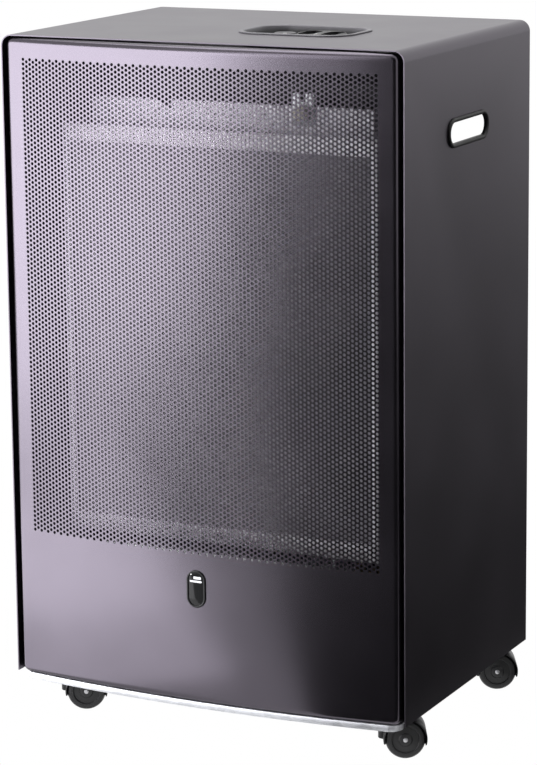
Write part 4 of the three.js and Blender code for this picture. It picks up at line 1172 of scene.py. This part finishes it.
FINISHES = (
    (galvanised, ("base_tray", "cutout_bracket", "burner_bracket_left", "burner_bracket_right")),
    (galvanised, ("pilot_stand", "valve_bracket")),
    # The divider's black also paints the shade of the void behind the grille
    (black_sheet, ("divider_panel",)),
    (heat_plate_sheet, ("heat_plate",)),
    (aluminised, ("rear_reflector",)),
    (ceramic, ("thermal_cutout", "ignition_electrode")),
    (zinc_steel, ("burner_tube", "gas_pipe", "thermocouple", "valve_spindle")),
    (zinc_steel, ("cover_stud_left", "cover_stud_right", "hinge_pin_left", "hinge_pin_right")),
    (zinc_steel, tuple(f"caster_axle_{corner}" for corner in CORNERS)),
    (brass, ("injector_elbow", "pilot_burner", "gas_valve", "inlet_nipple")),
    (copper, ("thermocouple_lead",)),
    (sleeve, ("ignition_lead",)),
    (grey_plastic, ("piezo_igniter",)),
)
ROUND_TUBES = ("gas_pipe", "thermocouple_lead", "ignition_lead")


def finish_node(name, material):
    """Welds the node's faces, rounds its tubes or softens its edges, and gives it its finish."""
    node = nodes[name]
    node.data.materials.clear()
    node.data.materials.append(material)
    for polygon in node.data.polygons:
        polygon.use_smooth = True
    node.modifiers.new("weld", "WELD").merge_threshold = 0.01 * MM
    if name in ROUND_TUBES:
        smoother = node.modifiers.new("round", "SUBSURF")
        smoother.levels = smoother.render_levels = 1
        return
    flat = node.modifiers.new("flat", "DECIMATE")
    flat.decimate_type = "DISSOLVE"
    flat.angle_limit = math.radians(1)
    soften(node, EDGE_BREAK, 2, 35)


# ---- Studio ----


def seen_directly(owner):
    """1 where a ray from the camera, a gloss or clear glass meets the backdrop."""
    rays = add_node(owner, "LightPath").outputs
    seen = calculated(owner, "MAXIMUM", rays["Is Camera Ray"], rays["Is Glossy Ray"])
    return calculated(owner, "MAXIMUM", seen, rays["Is Transmission Ray"])


def pale_stage(name, color):
    """A surface that looks white itself, and takes the object's shadow when it is lit."""
    material = new_material(name, color, 0.9)
    white = add_node(material, "Emission", Strength=1.0)
    blend = add_node(material, "MixShader")
    link(material, seen_directly(material), blend.inputs["Fac"])
    link(material, shader_of(material).outputs["BSDF"], blend.inputs[1])
    link(material, white.outputs["Emission"], blend.inputs[2])
    output = material.node_tree.nodes["Material Output"]
    link(material, blend.outputs["Shader"], output.inputs["Surface"])
    return material


# Lamp: place, point it faces, width and height, turn about Z, watts, colour
COOL = (0.98, 0.97, 1.0)
LAMPS = (
    ("key_left", (-2.0, -1.9, 0.66), (0, 0, 0.5), (2.6, 1.3), 0, 71, COOL),
    ("key_right", (-0.6, -2.35, 1.27), (0.15, -0.2, 0.6), (0.7, 1.7), 0, 11.2, COOL),
    ("low_far", (-1.656, -1.839, 0.01), (-1.656, -1.839, 1.0), (1.3, 1.05), -42, 25.7, COOL),
    ("low_middle", (-1.008, -0.821, 0.01), (-1.008, -0.821, 1.0), (0.9, 1.33), -42, 14.3, COOL),
    ("low_near", (-0.395, -0.290, 0.01), (-0.395, -0.290, 1.0), (0.7, 0.28), -42, 1.23, COOL),
    ("overhead", (-0.2, 0.2, 2.4), (0, 0, 0.4), (1.8, 1.6), 0, 30, (1.0, 0.99, 1.0)),
)

# Card for the paint to mirror: outline, level along an axis, and glow from near to far
FRONT_FLOOR = ((0.13, -0.24), (-1.2, -3.4), (3, -3.4), (3, -0.5), (0.26, -0.24))
SIDE_FLOOR = ((0.25, -0.2), (7, -0.2), (7, 6.2), (0.25, 6.2))
CARDS = (
    ("front_floor_card", FRONT_FLOOR, 1 * MM, "Z", (0, 0)),
    ("front_card", ((-1.2, 0), (4, 0), (4, 3.4), (-1.2, 3.4)), -3.4, "Y", (0, 0)),
    ("side_floor_card", SIDE_FLOOR, 1 * MM, "Z", (0, 0.45)),
)
CARD_THICKNESS = 1 * MM
GLOW_SPAN = (0, 6)
WORLD_LEVEL = 0.25
FLOOR_HALF = 6
FLOOR_COLOR = (0.85, 0.85, 0.86)


def card_material(name, glow):
    """A card that gives off an even light, or one that grows away from the object along Y."""
    material = new_material(
        name, (0, 0, 0), 1.0, Specular_IOR_Level=0.0, Emission_Color=(1, 1, 1, 1)
    )
    strength = map_range(material, object_axes(material)["Y"], GLOW_SPAN, glow)
    link(material, strength, shader_of(material).inputs["Emission Strength"])
    return material


def place_card(name, outline, level, axis, glow):
    """A card that only glossy surfaces see."""
    card = object_of(prism(outline, axis, level, level + CARD_THICKNESS), name)
    card.data.materials.append(card_material(name, glow))
    card.visible_camera = card.visible_diffuse = card.visible_shadow = False
    card.visible_transmission = False


def place_lamp(name, place, aim, size, turn, power, color):
    lamp = bpy.data.lights.new(name, "AREA")
    lamp.shape = "RECTANGLE"
    lamp.size, lamp.size_y = size
    lamp.energy = power
    lamp.color = color
    holder = bpy.data.objects.new(name, lamp)
    bpy.context.scene.collection.objects.link(holder)
    holder.location = place
    holder.visible_camera = False
    toward = Vector(aim) - Vector(place)
    holder.rotation_euler = toward.to_track_quat("-Z", "Y").to_euler()
    holder.rotation_euler.z += math.radians(turn)


def studio():
    world = bpy.data.worlds.new("studio")
    bpy.context.scene.world = world
    world.use_nodes = True
    backdrop = world.node_tree.nodes["Background"]
    backdrop.inputs["Color"].default_value = (1, 1, 1, 1)
    level = map_range(world, seen_directly(world), (0, 1), (WORLD_LEVEL, 1))
    link(world, level, backdrop.inputs["Strength"])
    span = (-FLOOR_HALF, FLOOR_HALF)
    floor = object_of(box(*span, *span, -10 * MM, 0), "floor")
    floor.data.materials.append(pale_stage("pale_floor", FLOOR_COLOR))
    for card in CARDS:
        place_card(*card)
    for lamp in LAMPS:
        place_lamp(*lamp)
    bpy.context.scene.view_settings.view_transform = "Standard"


def camera():
    data = bpy.data.cameras.new("camera")
    data.lens = FOCAL_LENGTH
    data.sensor_width = SENSOR_LONG_SIDE
    data.shift_y = FRAMING_PIXELS / PHOTO_HEIGHT
    data.clip_start, data.clip_end = 0.05, 50
    flat = math.cos(CAMERA_PITCH)
    forward = Vector(
        (-math.sin(CAMERA_YAW) * flat, math.cos(CAMERA_YAW) * flat, -math.sin(CAMERA_PITCH))
    )
    level = Vector((math.cos(CAMERA_YAW), math.sin(CAMERA_YAW), 0))
    upright = level.cross(forward)
    right = level * math.cos(CAMERA_ROLL) + upright * math.sin(CAMERA_ROLL)
    up = right.cross(forward)
    holder = bpy.data.objects.new("camera", data)
    bpy.context.scene.collection.objects.link(holder)
    turn = Matrix((right, up, -forward)).transposed()
    holder.matrix_world = Matrix.Translation(CAMERA_POSITION) @ turn.to_4x4()
    bpy.context.scene.camera = holder


camera()
studio()
cabinet_shell()
panel_border()
part_edges = [round(HOLE_COLUMNS * part / MESH_PARTS) for part in range(MESH_PARTS + 1)]
for part in range(MESH_PARTS):
    perforated_part(part_edges[part], part_edges[part + 1], f"perforated_part_{part + 1}")
window()
window_fittings()
handle(1)
handle(-1)
control_panel()
control_knob()
igniter_button()
rear_cover()
for corner_name in CORNERS:
    caster(corner_name)
for node_finish, node_names in FINISHES:
    for node_name in node_names:
        finish_node(node_name, node_finish)
